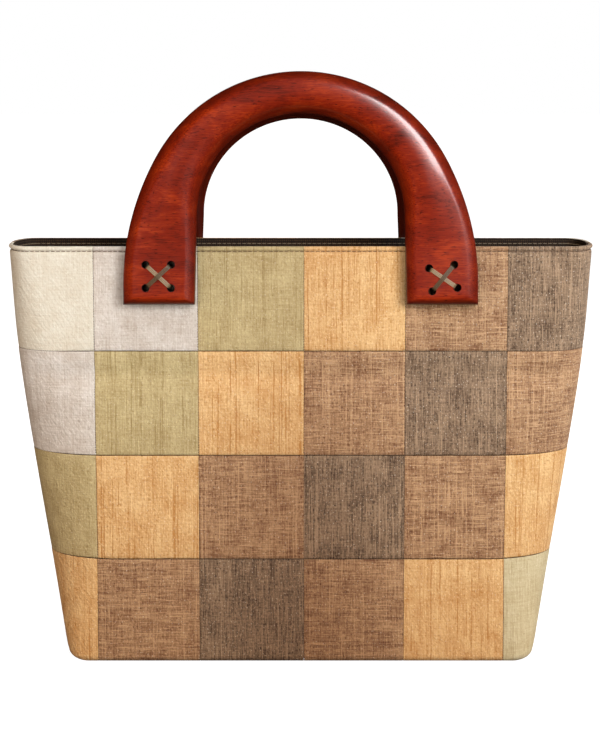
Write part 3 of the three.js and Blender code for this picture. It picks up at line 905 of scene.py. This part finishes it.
def handle_piece(side, woods):
    """One arched handle, lofted from foot to foot, with mitred bevels at its feet and flared lacing holes."""
    inner_edge, outer_edge = handle_inner_edge(side), handle_outer_edge()
    bevel_share = FOOT_BEVEL / run_along(outer_edge)[-1]
    bevel = bevel_share * np.linspace(0, 1, FOOT_BEVEL_RINGS + 1)
    between = np.linspace(bevel_share, 1 - bevel_share, HANDLE_RINGS + 1)[1:-1]
    shares = np.concatenate([bevel, between, 1 - bevel[::-1]])
    inner, outer = along_line(inner_edge, shares), along_line(outer_edge, shares)
    places, edges = [], []
    for share, near, far in zip(shares, inner, outer):
        arch = smoothstep((near[1] + far[1]) / 2, ARCH_FROM, ARCH_TO)
        section = HandleSection(*(a + (b - a) * arch for a, b in zip(FOOT_SECTION, ARCH_SECTION)))
        width = np.linalg.norm(far - near)
        across, out = handle_ring(width, section)
        from_end = min(share, 1 - share) / bevel_share
        lid = (1 - np.clip(1 - from_end, 0, 1) ** section.power) ** (1 / section.power)
        out = np.minimum(out, section.thickness + section.crown - section.front_depth * (1 - lid))
        spot = near + (far - near) * (across / width)[:, None]
        places.append(np.stack([spot[:, 0], -out, spot[:, 1]], axis=1))
        # Painted shade on the wood: darker near both edges of a section, at its back, and towards the foot
        # ends where the bevel faces down
        to_edge = np.minimum(across, width - across)
        shaded = BACK_SHADE * np.maximum(1 - smoothstep(out, *BACK_SHADE_BAND), 1 - min(from_end, 1) ** 2)
        edges.append(np.maximum(np.clip(1 - to_edge / EDGE_SHADE_BAND, 0, 1), shaded))
    places = np.array(places)
    piece = shaped_grid(f"{side}_wood_handle", places, np.zeros((*places.shape[:2], 2)))
    # The edge attribute keeps this painted shade for the wood material
    edge = piece.data.attributes.new("edge", "FLOAT", "POINT")
    edge.data.foreach_set("value", np.array(edges).ravel())
    in_edit_mode(piece, merge_doubles, fill_ends, face_out)
    take_materials(piece, woods, WOOD)
    drill_holes(piece, side, woods)
    return piece


def take_materials(piece, materials, index):
    """Gives a piece a list of materials and all its faces the one at an index."""
    for material in materials:
        piece.data.materials.append(material)
    piece.data.polygons.foreach_set("material_index", [index] * len(piece.data.polygons))


def lacing_corners(lacing, shift):
    """The four places of a lacing, low left, low right, high left and high right, on the panel."""
    reach = 1 - shift / math.hypot(HOLE_HALF_ACROSS, HOLE_HALF_UP)
    corners = np.array([(-1, -1), (1, -1), (-1, 1), (1, 1)]) * [HOLE_HALF_ACROSS, HOLE_HALF_UP] * reach
    cos, sin = math.cos(lacing.tilt), math.sin(lacing.tilt)
    turned = corners @ np.array([[cos, sin], [-sin, cos]])
    return turned + [lacing.across, lacing.up]


def drill_holes(piece, side, woods):
    """Cuts each lacing hole with a drill that flares at the face, then sets the handle on its panel."""
    drills = []
    face = FOOT_SECTION.thickness
    for lacing in (item for item in LACINGS if item.side == side):
        for x, z in lacing_corners(lacing, 0):
            bpy.ops.mesh.primitive_cylinder_add(
                vertices=HOLE_SIDES, radius=HOLE_RADIUS * MM, depth=(face + DRILL_EXTRA) * MM,
                location=(x * MM, -face / 2 * MM, z * MM), rotation=(math.pi / 2, 0, 0),
            )
            bpy.ops.object.transform_apply()
            drill = bpy.context.object
            take_materials(drill, woods, HOLE_SHADE)
            drills.append(drill)
            bpy.ops.mesh.primitive_cone_add(
                vertices=HOLE_SIDES, radius1=(HOLE_RADIUS - FLARE_OVERLAP) * MM,
                radius2=(HOLE_RADIUS + 2 * HOLE_FLARE) * MM, depth=2 * HOLE_FLARE * MM,
                location=(x * MM, -face * MM, z * MM), rotation=(math.pi / 2, 0, 0),
            )
            bpy.ops.object.transform_apply()
            flare = bpy.context.object
            take_materials(flare, woods, HOLE_SHADE)
            apply_modifier(drill, "BOOLEAN", object=flare, operation="UNION", solver="MANIFOLD")
            bpy.data.objects.remove(flare)
    cutter = join(drills, "drills")
    apply_modifier(piece, "BOOLEAN", object=cutter, operation="DIFFERENCE", solver="MANIFOLD")
    bpy.data.objects.remove(cutter)
    points = np.array([v.co for v in piece.data.vertices]) / MM
    piece.data.vertices.foreach_set("co", (on_panel(side, points) * MM).ravel())
    piece.data.update()


class PATCHWORK_BAG_OT_handles(bpy.types.Operator):
    """Make the two arched wooden handles"""

    bl_idname = "patchwork_bag.handles"
    bl_label = "Wooden Handles"

    def execute(self, context):
        woods = [wood_material(), hole_shade_material()]
        for side in ("front", "back"):
            dress(handle_piece(side, woods), woods, [f"handle_{side}"], WOOD_SMOOTH)
        return {"FINISHED"}


# Lacings

def tube_places(path, radius, sides):
    """Rings round a path, each square to it, turned as little as possible from one to the next."""
    path = np.asarray(path, float)
    tangents = np.gradient(path, axis=0)
    tangents /= np.linalg.norm(tangents, axis=1)[:, None]
    normal = np.cross(tangents[0], TUBE_START)
    angle = np.linspace(0, 2 * math.pi, sides + 1)
    rings = []
    for point, tangent in zip(path, tangents):
        normal = normal - tangent * (normal @ tangent)
        normal = normal / np.linalg.norm(normal)
        binormal = np.cross(tangent, normal)
        rings.append(point + radius * (np.outer(np.cos(angle), normal) + np.outer(np.sin(angle), binormal)))
    return np.array(rings)


def strand_route(start, end, offset, rise):
    """A ply's way from the inside up through one hole, over the wood and down through the other."""
    direction = (end - start) / np.linalg.norm(end - start)
    sideways = np.array([-direction[1], direction[0]]) * offset
    face = FOOT_SECTION.thickness + PLY_RADIUS
    span = np.linalg.norm(end - start)
    leg = [(0.0, INSIDE_DEPTH), (0.0, face / LEG_PARTS)] + [(run, face - depth) for run, depth in CORD_BEND]
    stops = leg + [(span / 2, face + rise)] + [(span - run, out) for run, out in leg[::-1]]
    flat = np.array([start + direction * run + sideways for run, _ in stops])
    out = np.array([out for _, out in stops])
    return np.stack([flat[:, 0], -out, flat[:, 1]], axis=1)


def lacing_piece(lacing):
    """One lacing: plies side by side that cross over the wood in an X and run level inside the bag."""
    low_left, low_right, high_left, high_right = lacing_corners(lacing, CORD_LEG_SHIFT)
    plies = []
    for ply in range(PLIES):
        offset = (ply - (PLIES - 1) / 2) * PLY_SPACING
        over = strand_route(low_left, high_right, offset, OVER_RISE)
        under = strand_route(high_left, low_right, offset, UNDER_RISE)
        route = np.vstack([over, under, over[:1]])
        # Painted light and shade of the two strands: 0 on the shaded strand that crosses over, 1 on the lit
        # strand beneath
        shade = np.concatenate([np.zeros(len(over)), np.ones(len(under)), [0]])
        run = run_along(route)[-1]
        smooth = smooth_through(np.column_stack([route, shade]), ROUTE_SAMPLES * len(route))
        even = along_line(smooth, np.linspace(0, 1, int(run / PLY_STEP)))
        rings = tube_places(even[:, :3], PLY_RADIUS, PLY_SIDES)
        unmapped = np.zeros((*rings.shape[:2], 2))
        piece = shaped_grid(f"{lacing.name}_ply", on_panel(lacing.side, rings), unmapped)
        # The painted light of the strands is kept on the ply for the cord's material
        worn = piece.data.attributes.new("worn", "FLOAT", "POINT")
        worn.data.foreach_set("value", np.repeat(np.clip(even[:, 3], 0, 1), PLY_SIDES + 1))
        in_edit_mode(piece, merge_doubles, fill_ends, face_out)
        plies.append(piece)
    return join(plies, f"{lacing.name}_cord")


class PATCHWORK_BAG_OT_lacings(bpy.types.Operator):
    """Make the crossed cord lacings that hold the handles"""

    bl_idname = "patchwork_bag.lacings"
    bl_label = "Cord Lacings"

    def execute(self, context):
        cord = cord_material()
        for lacing in LACINGS:
            dress(lacing_piece(lacing), [cord], [lacing.name])
        return {"FINISHED"}


# Materials

def add_node(tree, kind, settings=(), links=(), output=0):
    """Adds a node, sets its properties and inputs, links it, and returns one of its outputs."""
    node = tree.nodes.new("ShaderNode" + kind)
    for key, value in dict(settings).items():
        if isinstance(key, str) and hasattr(node, key):
            setattr(node, key, value)
        else:
            node.inputs[key].default_value = value
    for key, source in dict(links).items():
        tree.links.new(source, node.inputs[key])
    return node.outputs[output] if node.outputs else None


def new_material(name):
    """A material with an empty node tree but for its output and main shader."""
    material = bpy.data.materials.new(name)
    material.use_nodes = True
    tree = material.node_tree
    tree.nodes.clear()
    surface = add_node(tree, "BsdfPrincipled")
    add_node(tree, "OutputMaterial", links={"Surface": surface})
    return material, tree, surface.node


def finish_shader(tree, shader, links, **values):
    """Links a material's patterns to its shader, and sets the sockets that are the same all over."""
    for socket, source in links.items():
        tree.links.new(source, shader.inputs[socket])
    for socket, value in values.items():
        shader.inputs[socket.replace("_", " ")].default_value = value


# Patterns of a slub cloth's yarns: size across and up the cloth in mm, noise detail and turn in degrees.
# Single threads are finer than the picture shows, so they are drawn about twice as coarse.
Pattern = namedtuple("Pattern", "across up detail turn")
PATTERNS = {
    "drift": Pattern(14.0, 14.0, 1.0, 0),
    "breaks": Pattern(9.0, 22.0, 2.0, 0),
    "crinkle": Pattern(1.9, 5.2, 1.5, -38),
    "warp": Pattern(0.62, 12.0, 3.0, 0),
    "weft": Pattern(11.0, 0.7, 3.0, 0),
    "bands": Pattern(2.0, 90.0, 3.0, 0),
    "cross_bands": Pattern(60.0, 2.0, 3.0, 0),
    "slubs": Pattern(1.0, 150.0, 0.0, 0),
    "cross_slubs": Pattern(12.0, 0.8, 0.0, 0),
    "flecks": Pattern(0.8, 1.0, 0.0, 0),
    "nubs": Pattern(1.0, 1.5, 1.0, 0),
    "mottle": Pattern(13.0, 13.0, 3.0, 0),
}
YARN_ROUGHNESS = 0.6
MIDDLE = 0.5

# Slubs are thin lines that break off, nubs are spots, and crinkles and flecks leave the tone alone
LINES = ("slubs", "cross_slubs")
SPOTS = ("nubs",)
UNTONED = ("crinkle", "flecks")
TONE_SPREAD = 2.0
SPOT_GAIN = 40.0
SPOT_POWER = 3.0
LINE_FROM, LINE_TO = 0.68, 0.77
BREAKS_FROM, BREAKS_TO = 0.36, 0.52
FLECK_FROM, FLECK_TO = 0.775, 0.86
WOBBLE = 0.7

# Relief of the cloth, and how far up and across a panel its tints fade, in mm. The tint by height is painted
# shade towards the base.
CLOTH_BUMP = 0.7
CLOTH_RELIEF = 0.45
TINT_HEIGHT = 165.0
TINT_ACROSS = 85.0
MIDDLE_TINT_FADE = 0.6
WHITE = (1.0, 1.0, 1.0, 1.0)

# How strongly each cloth shows each pattern, and how crinkled it is
ClothLook = namedtuple(
    "ClothLook", "name colours crinkle warp weft bands cross_bands slubs cross_slubs flecks nubs mottle",
)
CLOTH_LOOKS = (
    ClothLook("Cream noil silk", "cream", 1.8, 0.3, 0.3, 0.15, 0.1, -0.1, 0.0, 0.2, 0.4, 0.35),
    ClothLook("Lavender-grey noil silk", "lavender", 1.8, 0.45, 0.4, 0.3, 0.15, -0.1, 0.0, 0.2, 0.5, 0.5),
    ClothLook("Sage slub linen", "sage", 1.4, 0.45, 0.3, 0.2, 0.1, -0.4, 0.0, 0.3, 0.5, 0.35),
    ClothLook("Golden slub silk", "gold", 2.0, 0.48, 0.25, 0.28, 0.05, -0.55, 0.0, 0.35, 0.6, 0.4),
    ClothLook("Brown slub silk", "brown", 0.8, 0.5, 0.6, 0.28, 0.35, 0.4, 0.5, 0.4, 0.65, 0.4),
    ClothLook("Charcoal slub silk", "charcoal", 0.6, 0.8, 0.35, 0.35, 0.12, 0.45, 0.0, 0.45, 0.75, 0.4),
    ClothLook("Pale sage slub linen", "pale_sage", 0.8, 0.45, 0.3, 0.25, 0.15, -0.2, 0.0, 0.3, 0.3, 0.3),
)


def yarn_noises(tree):
    """A noise on the cloth's UV for every pattern, all but the first a little wobbled by the first."""
    uv = add_node(tree, "UVMap", {"uv_map": CLOTH_UV})
    place = uv
    noises = {}
    for key, pattern in PATTERNS.items():
        turn = (0.0, 0.0, math.radians(pattern.turn))
        turned = add_node(tree, "Mapping", {"Rotation": turn}, {"Vector": place})
        scaled = add_node(
            tree, "Mapping", {"Scale": (1 / pattern.across, 1 / pattern.up, 1.0)}, {"Vector": turned},
        )
        noises[key] = add_node(
            tree, "TexNoise",
            {"noise_dimensions": "2D", "Scale": 1.0, "Detail": pattern.detail, "Roughness": YARN_ROUGHNESS},
            {"Vector": scaled},
        )
        if key == "drift":
            place = add_node(
                tree, "VectorMath", {"operation": "MULTIPLY_ADD", 1: (WOBBLE, WOBBLE, 0.0)},
                {0: noises[key].node.outputs["Color"], 2: uv},
            )
    return noises


def thread_tone(tree, look, noises):
    """The tone of a cloth's threads from dark (0) to light (1): every pattern added up about the middle."""
    breaks = add_node(
        tree, "MapRange", {"From Min": BREAKS_FROM, "From Max": BREAKS_TO}, {"Value": noises["breaks"]},
    )
    level = None
    for key in PATTERNS:
        strength = getattr(look, key, 0.0)
        if key in UNTONED or strength == 0:
            continue
        if key in LINES:
            line = add_node(
                tree, "MapRange", {"From Min": LINE_FROM, "From Max": LINE_TO}, {"Value": noises[key]},
            )
            share = add_node(tree, "Math", {"operation": "MULTIPLY"}, {0: line, 1: breaks})
            spread = strength
        else:
            share = add_node(tree, "Math", {"operation": "SUBTRACT", 1: MIDDLE}, {0: noises[key]})
            spread = strength * TONE_SPREAD
        if key in SPOTS:
            share = add_node(tree, "Math", {"operation": "POWER", 1: SPOT_POWER}, {0: share})
            spread = strength * SPOT_GAIN
        level = add_node(
            tree, "Math", {"operation": "MULTIPLY_ADD", 1: spread, 2: MIDDLE},
            {0: share, 2: level} if level else {0: share},
        )
    return level


def tint_shares(tree):
    """How untinted the cloth is by its height, where the tint is painted shade towards the base, and by its
    distance from the middle of the panel.
    """
    height = add_node(
        tree, "SeparateXYZ", links={0: add_node(tree, "TexCoord", output="Object")}, output="Z",
    )
    aside = add_node(tree, "Math", {"operation": "ABSOLUTE"}, {0: height.node.outputs["X"]})
    shade_by_height = add_node(tree, "MapRange", {"From Max": TINT_HEIGHT * MM}, {"Value": height})
    weakened = add_node(
        tree, "MapRange", {"From Max": TINT_HEIGHT * MM, "To Max": MIDDLE_TINT_FADE}, {"Value": height},
    )
    by_width = add_node(
        tree, "MapRange", {"interpolation_type": "SMOOTHSTEP", "From Max": TINT_ACROSS * MM},
        {"Value": aside, "To Min": weakened},
    )
    return shade_by_height, by_width


def cloth_material(look):
    """Slub plain-weave cloth: uneven yarns, thin slubs and nubs on a matt, crinkled face."""
    colours = palette()
    material, tree, shader = new_material(look.name)
    noises = yarn_noises(tree)
    level = thread_tone(tree, look, noises)
    dark, light = (getattr(colours, f"{look.colours}_{end}") for end in ("dark", "light"))
    tone = add_node(tree, "Clamp", links={"Value": level})
    dyed = add_node(tree, "Mix", {"data_type": "RGBA", 6: dark, 7: light}, {0: tone}, 2)
    fleck = add_node(
        tree, "MapRange", {"From Min": FLECK_FROM, "From Max": FLECK_TO, "To Max": look.flecks},
        {"Value": noises["flecks"]},
    )
    dyed = add_node(tree, "Mix", {"data_type": "RGBA", 7: colours.fleck}, {0: fleck, 6: dyed}, 2)
    shade_by_height, by_width = tint_shares(tree)
    # Painted shade deepens the squares towards the base, and the middle tint deepens them towards the middle
    # of a panel
    for tint_colour, share in ((colours.base_tint, shade_by_height), (colours.middle_tint, by_width)):
        tint = add_node(tree, "Mix", {"data_type": "RGBA", 6: tint_colour, 7: WHITE}, {0: share}, 2)
        dyed = add_node(
            tree, "Mix", {"data_type": "RGBA", "blend_type": "MULTIPLY", 0: 1.0}, {6: dyed, 7: tint}, 2,
        )
    relief = add_node(
        tree, "Math", {"operation": "MULTIPLY_ADD", 1: look.crinkle}, {0: noises["crinkle"], 2: level},
    )
    bump = add_node(tree, "Bump", {"Strength": CLOTH_BUMP, "Distance": CLOTH_RELIEF * MM}, {"Height": relief})
    finish_shader(
        tree, shader, {"Base Color": dyed, "Normal": bump},
        Roughness=0.85, Sheen_Weight=0.05, Sheen_Roughness=0.5, Specular_IOR_Level=0.2,
    )
    return material


def cloth_materials():
    """Every cloth of the panels by its slot."""
    return {f"cloth_{look.colours}": cloth_material(look) for look in CLOTH_LOOKS}


# Lining canvas: spacing of its yarns, size of their unevenness and height of their knots, in mm.
# A wave texture at scale 1 repeats about every 1/3.2 of a unit.
LINING_YARN = 1.1
WAVES_PER_UNIT = 3.2
LINING_UNEVEN = 2.5
LINING_BUMP = 0.7
LINING_KNOT = 0.3


def lining_material():
    """Coarse dark cotton canvas: a plain weave whose round yarns stand out as light knots."""
    name = "Dark cotton canvas"
    if name in bpy.data.materials:
        return bpy.data.materials[name]
    colours = palette()
    material, tree, shader = new_material(name)
    uv = add_node(tree, "UVMap", {"uv_map": CLOTH_UV})
    yarn = {"Scale": 1 / LINING_YARN / WAVES_PER_UNIT, "Distortion": 1.2, "Detail": 1.0, "Detail Scale": 0.6}
    warp, weft = (
        add_node(tree, "TexWave", {"bands_direction": direction, **yarn}, {"Vector": uv}, "Fac")
        for direction in ("X", "Y")
    )
    knots = add_node(tree, "Math", {"operation": "MULTIPLY"}, {0: warp, 1: weft})
    uneven = add_node(
        tree, "TexNoise", {"noise_dimensions": "2D", "Scale": 1 / LINING_UNEVEN, "Detail": 3.0},
        {"Vector": uv},
    )
    tone = add_node(tree, "Math", {"operation": "MULTIPLY"}, {0: knots, 1: uneven})
    dyed = add_node(
        tree, "Mix", {"data_type": "RGBA", 6: colours.lining_dark, 7: colours.lining_light}, {0: tone}, 2,
    )
    bump = add_node(tree, "Bump", {"Strength": LINING_BUMP, "Distance": LINING_KNOT * MM}, {"Height": knots})
    finish_shader(tree, shader, {"Base Color": dyed, "Normal": bump}, Roughness=0.9, Specular_IOR_Level=0.2)
    return material


# Patterns of the wood: length along the grain and width across it in mm, noise detail and distortion
WoodPattern = namedtuple("WoodPattern", "run width detail distortion")
WOOD_PATTERNS = {
    "grain": WoodPattern(9.0, 0.55, 5.0, 0.4),
    "figure": WoodPattern(36.0, 16.0, 4.0, 0.8),
    "pores": WoodPattern(3.4, 0.6, 1.0, 0.0),
}
WOOD_ROUGHNESS = 0.62
GRAIN_SHARE = 0.45
PORE_BUMP = 0.35
PORE_DEPTH = 0.12

# Where each pattern or tone of the wood starts and ends in the noise that drives it, and how strong it gets
WoodRange = namedtuple("WoodRange", "low high most")
WOOD_RANGES = {
    "figure": WoodRange(0.3, 0.72, 1.0),
    "grain": WoodRange(0.3, 0.7, 1.0),
    "middle": WoodRange(0.05, 0.45, 1.0),
    "light": WoodRange(0.5, 0.95, 1.0),
    "pores": WoodRange(0.62, 0.72, 0.8),
    # Painted shade along the handles' edges, backs and foot ends, read from their edge attribute
    "painted_shade": WoodRange(0.35, BACK_SHADE, 0.88),
}


def wood_material():
    """Red-stained hardwood under clear lacquer: grain along X, dark pores, and painted shade along its edges,
    backs and foot ends.
    """
    colours = palette()
    material, tree, shader = new_material("Lacquered red-stained hardwood")
    place = add_node(tree, "TexCoord", output="Object")
    # The edge attribute carries the painted shade of the handles' edges, backs and foot ends
    driven = {"painted_shade": add_node(tree, "Attribute", {"attribute_name": "edge"}, output="Fac")}
    for key, pattern in WOOD_PATTERNS.items():
        scale = (1 / (pattern.run * MM), 1 / (pattern.width * MM), 1 / (pattern.width * MM))
        scaled = add_node(tree, "Mapping", {"Scale": scale}, {"Vector": place})
        driven[key] = add_node(
            tree, "TexNoise",
            {
                "Scale": 1.0, "Detail": pattern.detail,
                "Roughness": WOOD_ROUGHNESS, "Distortion": pattern.distortion,
            },
            {"Vector": scaled},
        )
    shares = {}
    for key, reach in WOOD_RANGES.items():
        if key == "middle":
            figured = {2: shares["figure"], 3: shares["grain"]}
            both = add_node(tree, "Mix", {"data_type": "FLOAT", 0: GRAIN_SHARE}, figured)
            driven.update(middle=both, light=both)
        shares[key] = add_node(
            tree, "MapRange", {"From Min": reach.low, "From Max": reach.high, "To Max": reach.most},
            {"Value": driven[key]},
        )
    dark, light = colours.wood_dark, colours.wood_light
    stained = add_node(
        tree, "Mix", {"data_type": "RGBA", 6: dark, 7: colours.wood_middle}, {0: shares["middle"]}, 2,
    )
    # The light figure and the dark pores are the wood's own; the last tone is painted shade along the edges,
    # backs and foot ends
    for key, tone in (("light", light), ("pores", dark), ("painted_shade", dark)):
        stained = add_node(tree, "Mix", {"data_type": "RGBA", 7: tone}, {0: shares[key], 6: stained}, 2)
    bump = add_node(
        tree, "Bump", {"Strength": PORE_BUMP, "Distance": PORE_DEPTH * MM, "invert": True},
        {"Height": shares["pores"]},
    )
    finish_shader(
        tree, shader, {"Base Color": stained, "Normal": bump},
        Roughness=0.5, Specular_IOR_Level=0.05, Coat_Weight=0.6, Coat_Roughness=0.22,
    )
    return material


def hole_shade_material():
    """Painted shade for the insides of the lacing holes: nearly black, so that the holes read as deep."""
    material, tree, shader = new_material("Bare bored wood")
    finish_shader(tree, shader, {}, Base_Color=palette().bore, Roughness=0.9, Specular_IOR_Level=0.1)
    return material


# Waxed cord: size of its fibres and their relief in mm, and how fibres and the painted light and shade of its
# two strands set its tone
FIBRE = 0.7
FIBRE_BUMP = 0.4
FIBRE_RELIEF = 0.08
FIBRE_TONE = 0.5
LIT_STRAND_STEP = 0.62
SHADED_STRAND_TONE = -0.12


def cord_material():
    """Waxed multi-ply cord: a soft sheen along each ply, with painted shade on the strand that crosses over
    and painted light on the strand beneath it.
    """
    colours = palette()
    material, tree, shader = new_material("Waxed linen cord")
    place = add_node(tree, "TexCoord", output="Object")
    worn = add_node(tree, "Attribute", {"attribute_name": "worn"}, output="Fac")
    fibre = add_node(
        tree, "TexNoise", {"Scale": 1 / (FIBRE * MM), "Detail": 3.0, "Roughness": 0.6}, {"Vector": place},
    )
    strand_light_and_shade = add_node(tree, "Math", {"operation": "MULTIPLY_ADD", 1: LIT_STRAND_STEP, 2: SHADED_STRAND_TONE}, {0: worn})
    tone = add_node(tree, "Math", {"operation": "MULTIPLY_ADD", 1: FIBRE_TONE}, {0: fibre, 2: strand_light_and_shade})
    waxed = add_node(
        tree, "Mix", {"data_type": "RGBA", 6: colours.cord_dark, 7: colours.cord_light}, {0: tone}, 2,
    )
    bump = add_node(tree, "Bump", {"Strength": FIBRE_BUMP, "Distance": FIBRE_RELIEF * MM}, {"Height": fibre})
    finish_shader(tree, shader, {"Base Color": waxed, "Normal": bump}, Roughness=0.55)
    return material


# Sewing thread: length of a light or dark stretch of its twist in mm, and the range of its tone
TWIST = 0.9
TWIST_DARK, TWIST_LIGHT = 0.6, 1.5


def thread_material(name, tint):
    """Spun thread: matt, with small light and dark stretches where its twist turns."""
    material, tree, shader = new_material(name)
    place = add_node(tree, "TexCoord", output="Object")
    twist = add_node(tree, "TexNoise", {"Scale": 1 / (TWIST * MM), "Detail": 2.0}, {"Vector": place})
    tone = add_node(tree, "MapRange", {"To Min": TWIST_DARK, "To Max": TWIST_LIGHT}, {"Value": twist})
    spun = add_node(
        tree, "Mix", {"data_type": "RGBA", "blend_type": "MULTIPLY", 0: 1.0, 6: tint}, {7: tone}, 2,
    )
    finish_shader(tree, shader, {"Base Color": spun}, Roughness=0.75)
    return material


# Glow of the floor: distances from the bag in metres, and the glow there
GLOW_NEAR, GLOW_FAR = 0.25, 1.1
GLOW_LEAST, GLOW_MOST = 0.97, 1.1


def floor_material():
    """Pale light-table sheet: glows evenly to the eye, more so away from the bag, and takes a soft shadow."""
    material, tree, shader = new_material("Pale light-table sheet")
    place = add_node(tree, "TexCoord", output="Object")
    away = add_node(tree, "VectorMath", {"operation": "LENGTH"}, {0: place}, "Value")
    glow = add_node(
        tree, "MapRange",
        {"From Min": GLOW_NEAR, "From Max": GLOW_FAR, "To Min": GLOW_LEAST, "To Max": GLOW_MOST},
        {"Value": away},
    )
    seen = add_node(tree, "LightPath", output="Is Camera Ray")
    strength = add_node(tree, "Math", {"operation": "MULTIPLY"}, {0: glow, 1: seen})
    finish_shader(
        tree, shader, {"Emission Strength": strength},
        Base_Color=palette().floor, Roughness=0.95, Specular_IOR_Level=0.1, Emission_Color=WHITE,
    )
    return material


# Stage

# Point that the lights face and the floor's width, in metres, and how much of the room the lacquer mirrors
AIM = Vector((0.0, 0.0, 0.16))
FLOOR_SIZE = 12.0
MIRRORED_SHARE = 0.1

# Soft lights: angles about the bag in degrees, from the front and from level, and sizes in metres
SoftLight = namedtuple("SoftLight", "name setting azimuth elevation distance width height tint lit mirrored")
SOFT_LIGHTS = (
    SoftLight("Key softbox", "key", 23, 17, 1.15, 0.5, 0.5, "daylight", True, False),
    SoftLight("Fill softbox", "fill", -20, 14, 1.3, 0.6, 0.6, "daylight", True, False),
    SoftLight("Right panel", "right_panel", 97, 12, 1.1, 0.3, 0.7, "daylight", True, False),
    SoftLight("Left panel", "left_panel", -64, 12, 1.1, 0.3, 0.7, "room", True, False),
    SoftLight("Top panel", "top", 0, 76, 1.1, 0.9, 0.5, "daylight", True, False),
    SoftLight("Back softbox", "back", 168, 20, 1.25, 0.7, 0.6, "daylight", True, False),
    SoftLight("Far right card", "far_card", 43, 38, 1.1, 0.4, 0.65, "daylight", False, True),
    SoftLight("Right card", "right_card", 31, 36, 1.1, 0.35, 0.6, "daylight", False, True),
    SoftLight("Near right card", "near_card", 19, 26, 1.1, 0.24, 0.6, "daylight", False, True),
    SoftLight("Left card", "left_card", -27, 30, 1.1, 0.4, 0.6, "daylight", False, True),
)


def light_place(light):
    """Where a light stands, from its angles about the bag."""
    azimuth, elevation = math.radians(light.azimuth), math.radians(light.elevation)
    level = light.distance * math.cos(elevation)
    rise = light.distance * math.sin(elevation)
    return AIM + Vector((level * math.sin(azimuth), -level * math.cos(azimuth), rise))


class PATCHWORK_BAG_OT_stage(bpy.types.Operator):
    """Make the pale floor, the studio light and the camera"""

    bl_idname = "patchwork_bag.stage"
    bl_label = "Stage"

    def execute(self, context):
        settings = context.scene.patchwork_bag_stage
        bpy.ops.mesh.primitive_plane_add(size=FLOOR_SIZE)
        floor = context.object
        floor.name = "studio_floor"
        floor.data.materials.append(floor_material())
        floor.visible_glossy = False
        for light in SOFT_LIGHTS:
            place = light_place(light)
            facing = (AIM - place).to_track_quat("-Z", "Y").to_euler()
            bpy.ops.object.light_add(type="AREA", location=place, rotation=facing)
            lamp = context.object
            lamp.name = light.name
            lamp.data.shape = "RECTANGLE"
            lamp.data.size = light.width
            lamp.data.size_y = light.height
            lamp.data.energy = getattr(settings, light.setting)
            lamp.data.color = getattr(palette(), light.tint)[:3]
            lamp.visible_diffuse = light.lit
            lamp.visible_glossy = light.mirrored
        self.light_room(context.scene, settings.surround)
        self.place_camera(context.scene)
        context.scene.view_settings.view_transform = "Standard"
        return {"FINISHED"}

    def light_room(self, scene, strength):
        """An even room light, behind which the backdrop is plain white."""
        world = bpy.data.worlds.new("Studio room")
        world.use_nodes = True
        scene.world = world
        tree = world.node_tree
        tree.nodes.clear()
        seen = add_node(tree, "LightPath", output="Is Camera Ray")
        mirrored = seen.node.outputs["Is Glossy Ray"]
        dimmed = add_node(
            tree, "MapRange", {"To Min": strength, "To Max": strength * MIRRORED_SHARE}, {"Value": mirrored},
        )
        brightness = add_node(tree, "MapRange", {"To Max": 1.0}, {"Value": seen, "To Min": dimmed})
        tint = add_node(tree, "Mix", {"data_type": "RGBA", 6: palette().room, 7: WHITE}, {0: seen}, 2)
        backdrop = add_node(tree, "Background", links={"Color": tint, "Strength": brightness})
        add_node(tree, "OutputWorld", links={"Surface": backdrop})

    def place_camera(self, scene):
        """The photograph's camera: straight in front and a little above the rim."""
        place = Vector(CAMERA_PLACE) * MM
        bpy.ops.object.camera_add(location=place, rotation=(math.pi / 2 - CAMERA_PITCH, 0, 0))
        camera = bpy.context.object
        camera.data.sensor_width = SENSOR_MM
        camera.data.lens = FOCAL_PX / FRAME_HEIGHT_PX * SENSOR_MM
        scene.camera = camera


class PATCHWORK_BAG_PT_pieces(bpy.types.Panel):
    """Lists the pieces, their sizes and their colours"""

    bl_label = "Patchwork Bag"
    bl_space_type = "VIEW_3D"
    bl_region_type = "UI"
    bl_category = "Patchwork Bag"

    def draw(self, context):
        layout = self.layout
        for operator in OPERATORS:
            layout.operator(operator.bl_idname)
        for group in (
            context.scene.patchwork_bag_sizes,
            context.scene.patchwork_bag_colours,
            context.scene.patchwork_bag_stage,
        ):
            column = layout.column(align=True)
            for name in type(group).__annotations__:
                column.prop(group, name)


OPERATORS = (
    PATCHWORK_BAG_OT_patches,
    PATCHWORK_BAG_OT_stitches,
    PATCHWORK_BAG_OT_lining,
    PATCHWORK_BAG_OT_base,
    PATCHWORK_BAG_OT_handles,
    PATCHWORK_BAG_OT_lacings,
    PATCHWORK_BAG_OT_stage,
)
CLASSES = (PatchworkBagSizes, PatchworkBagColours, PatchworkBagStage, *OPERATORS, PATCHWORK_BAG_PT_pieces)


def register():
    for item in CLASSES:
        bpy.utils.register_class(item)
    bpy.types.Scene.patchwork_bag_sizes = PointerProperty(type=PatchworkBagSizes)
    bpy.types.Scene.patchwork_bag_colours = PointerProperty(type=PatchworkBagColours)
    bpy.types.Scene.patchwork_bag_stage = PointerProperty(type=PatchworkBagStage)


def unregister():
    del bpy.types.Scene.patchwork_bag_sizes
    del bpy.types.Scene.patchwork_bag_colours
    del bpy.types.Scene.patchwork_bag_stage
    for item in reversed(CLASSES):
        bpy.utils.unregister_class(item)


def main():
    """Makes every piece and the stage."""
    register()
    bpy.ops.patchwork_bag.patches()
    bpy.ops.patchwork_bag.stitches()
    bpy.ops.patchwork_bag.lining()
    bpy.ops.patchwork_bag.base()
    bpy.ops.patchwork_bag.handles()
    bpy.ops.patchwork_bag.lacings()
    bpy.ops.patchwork_bag.stage()


if __name__ == "__main__":
    main()
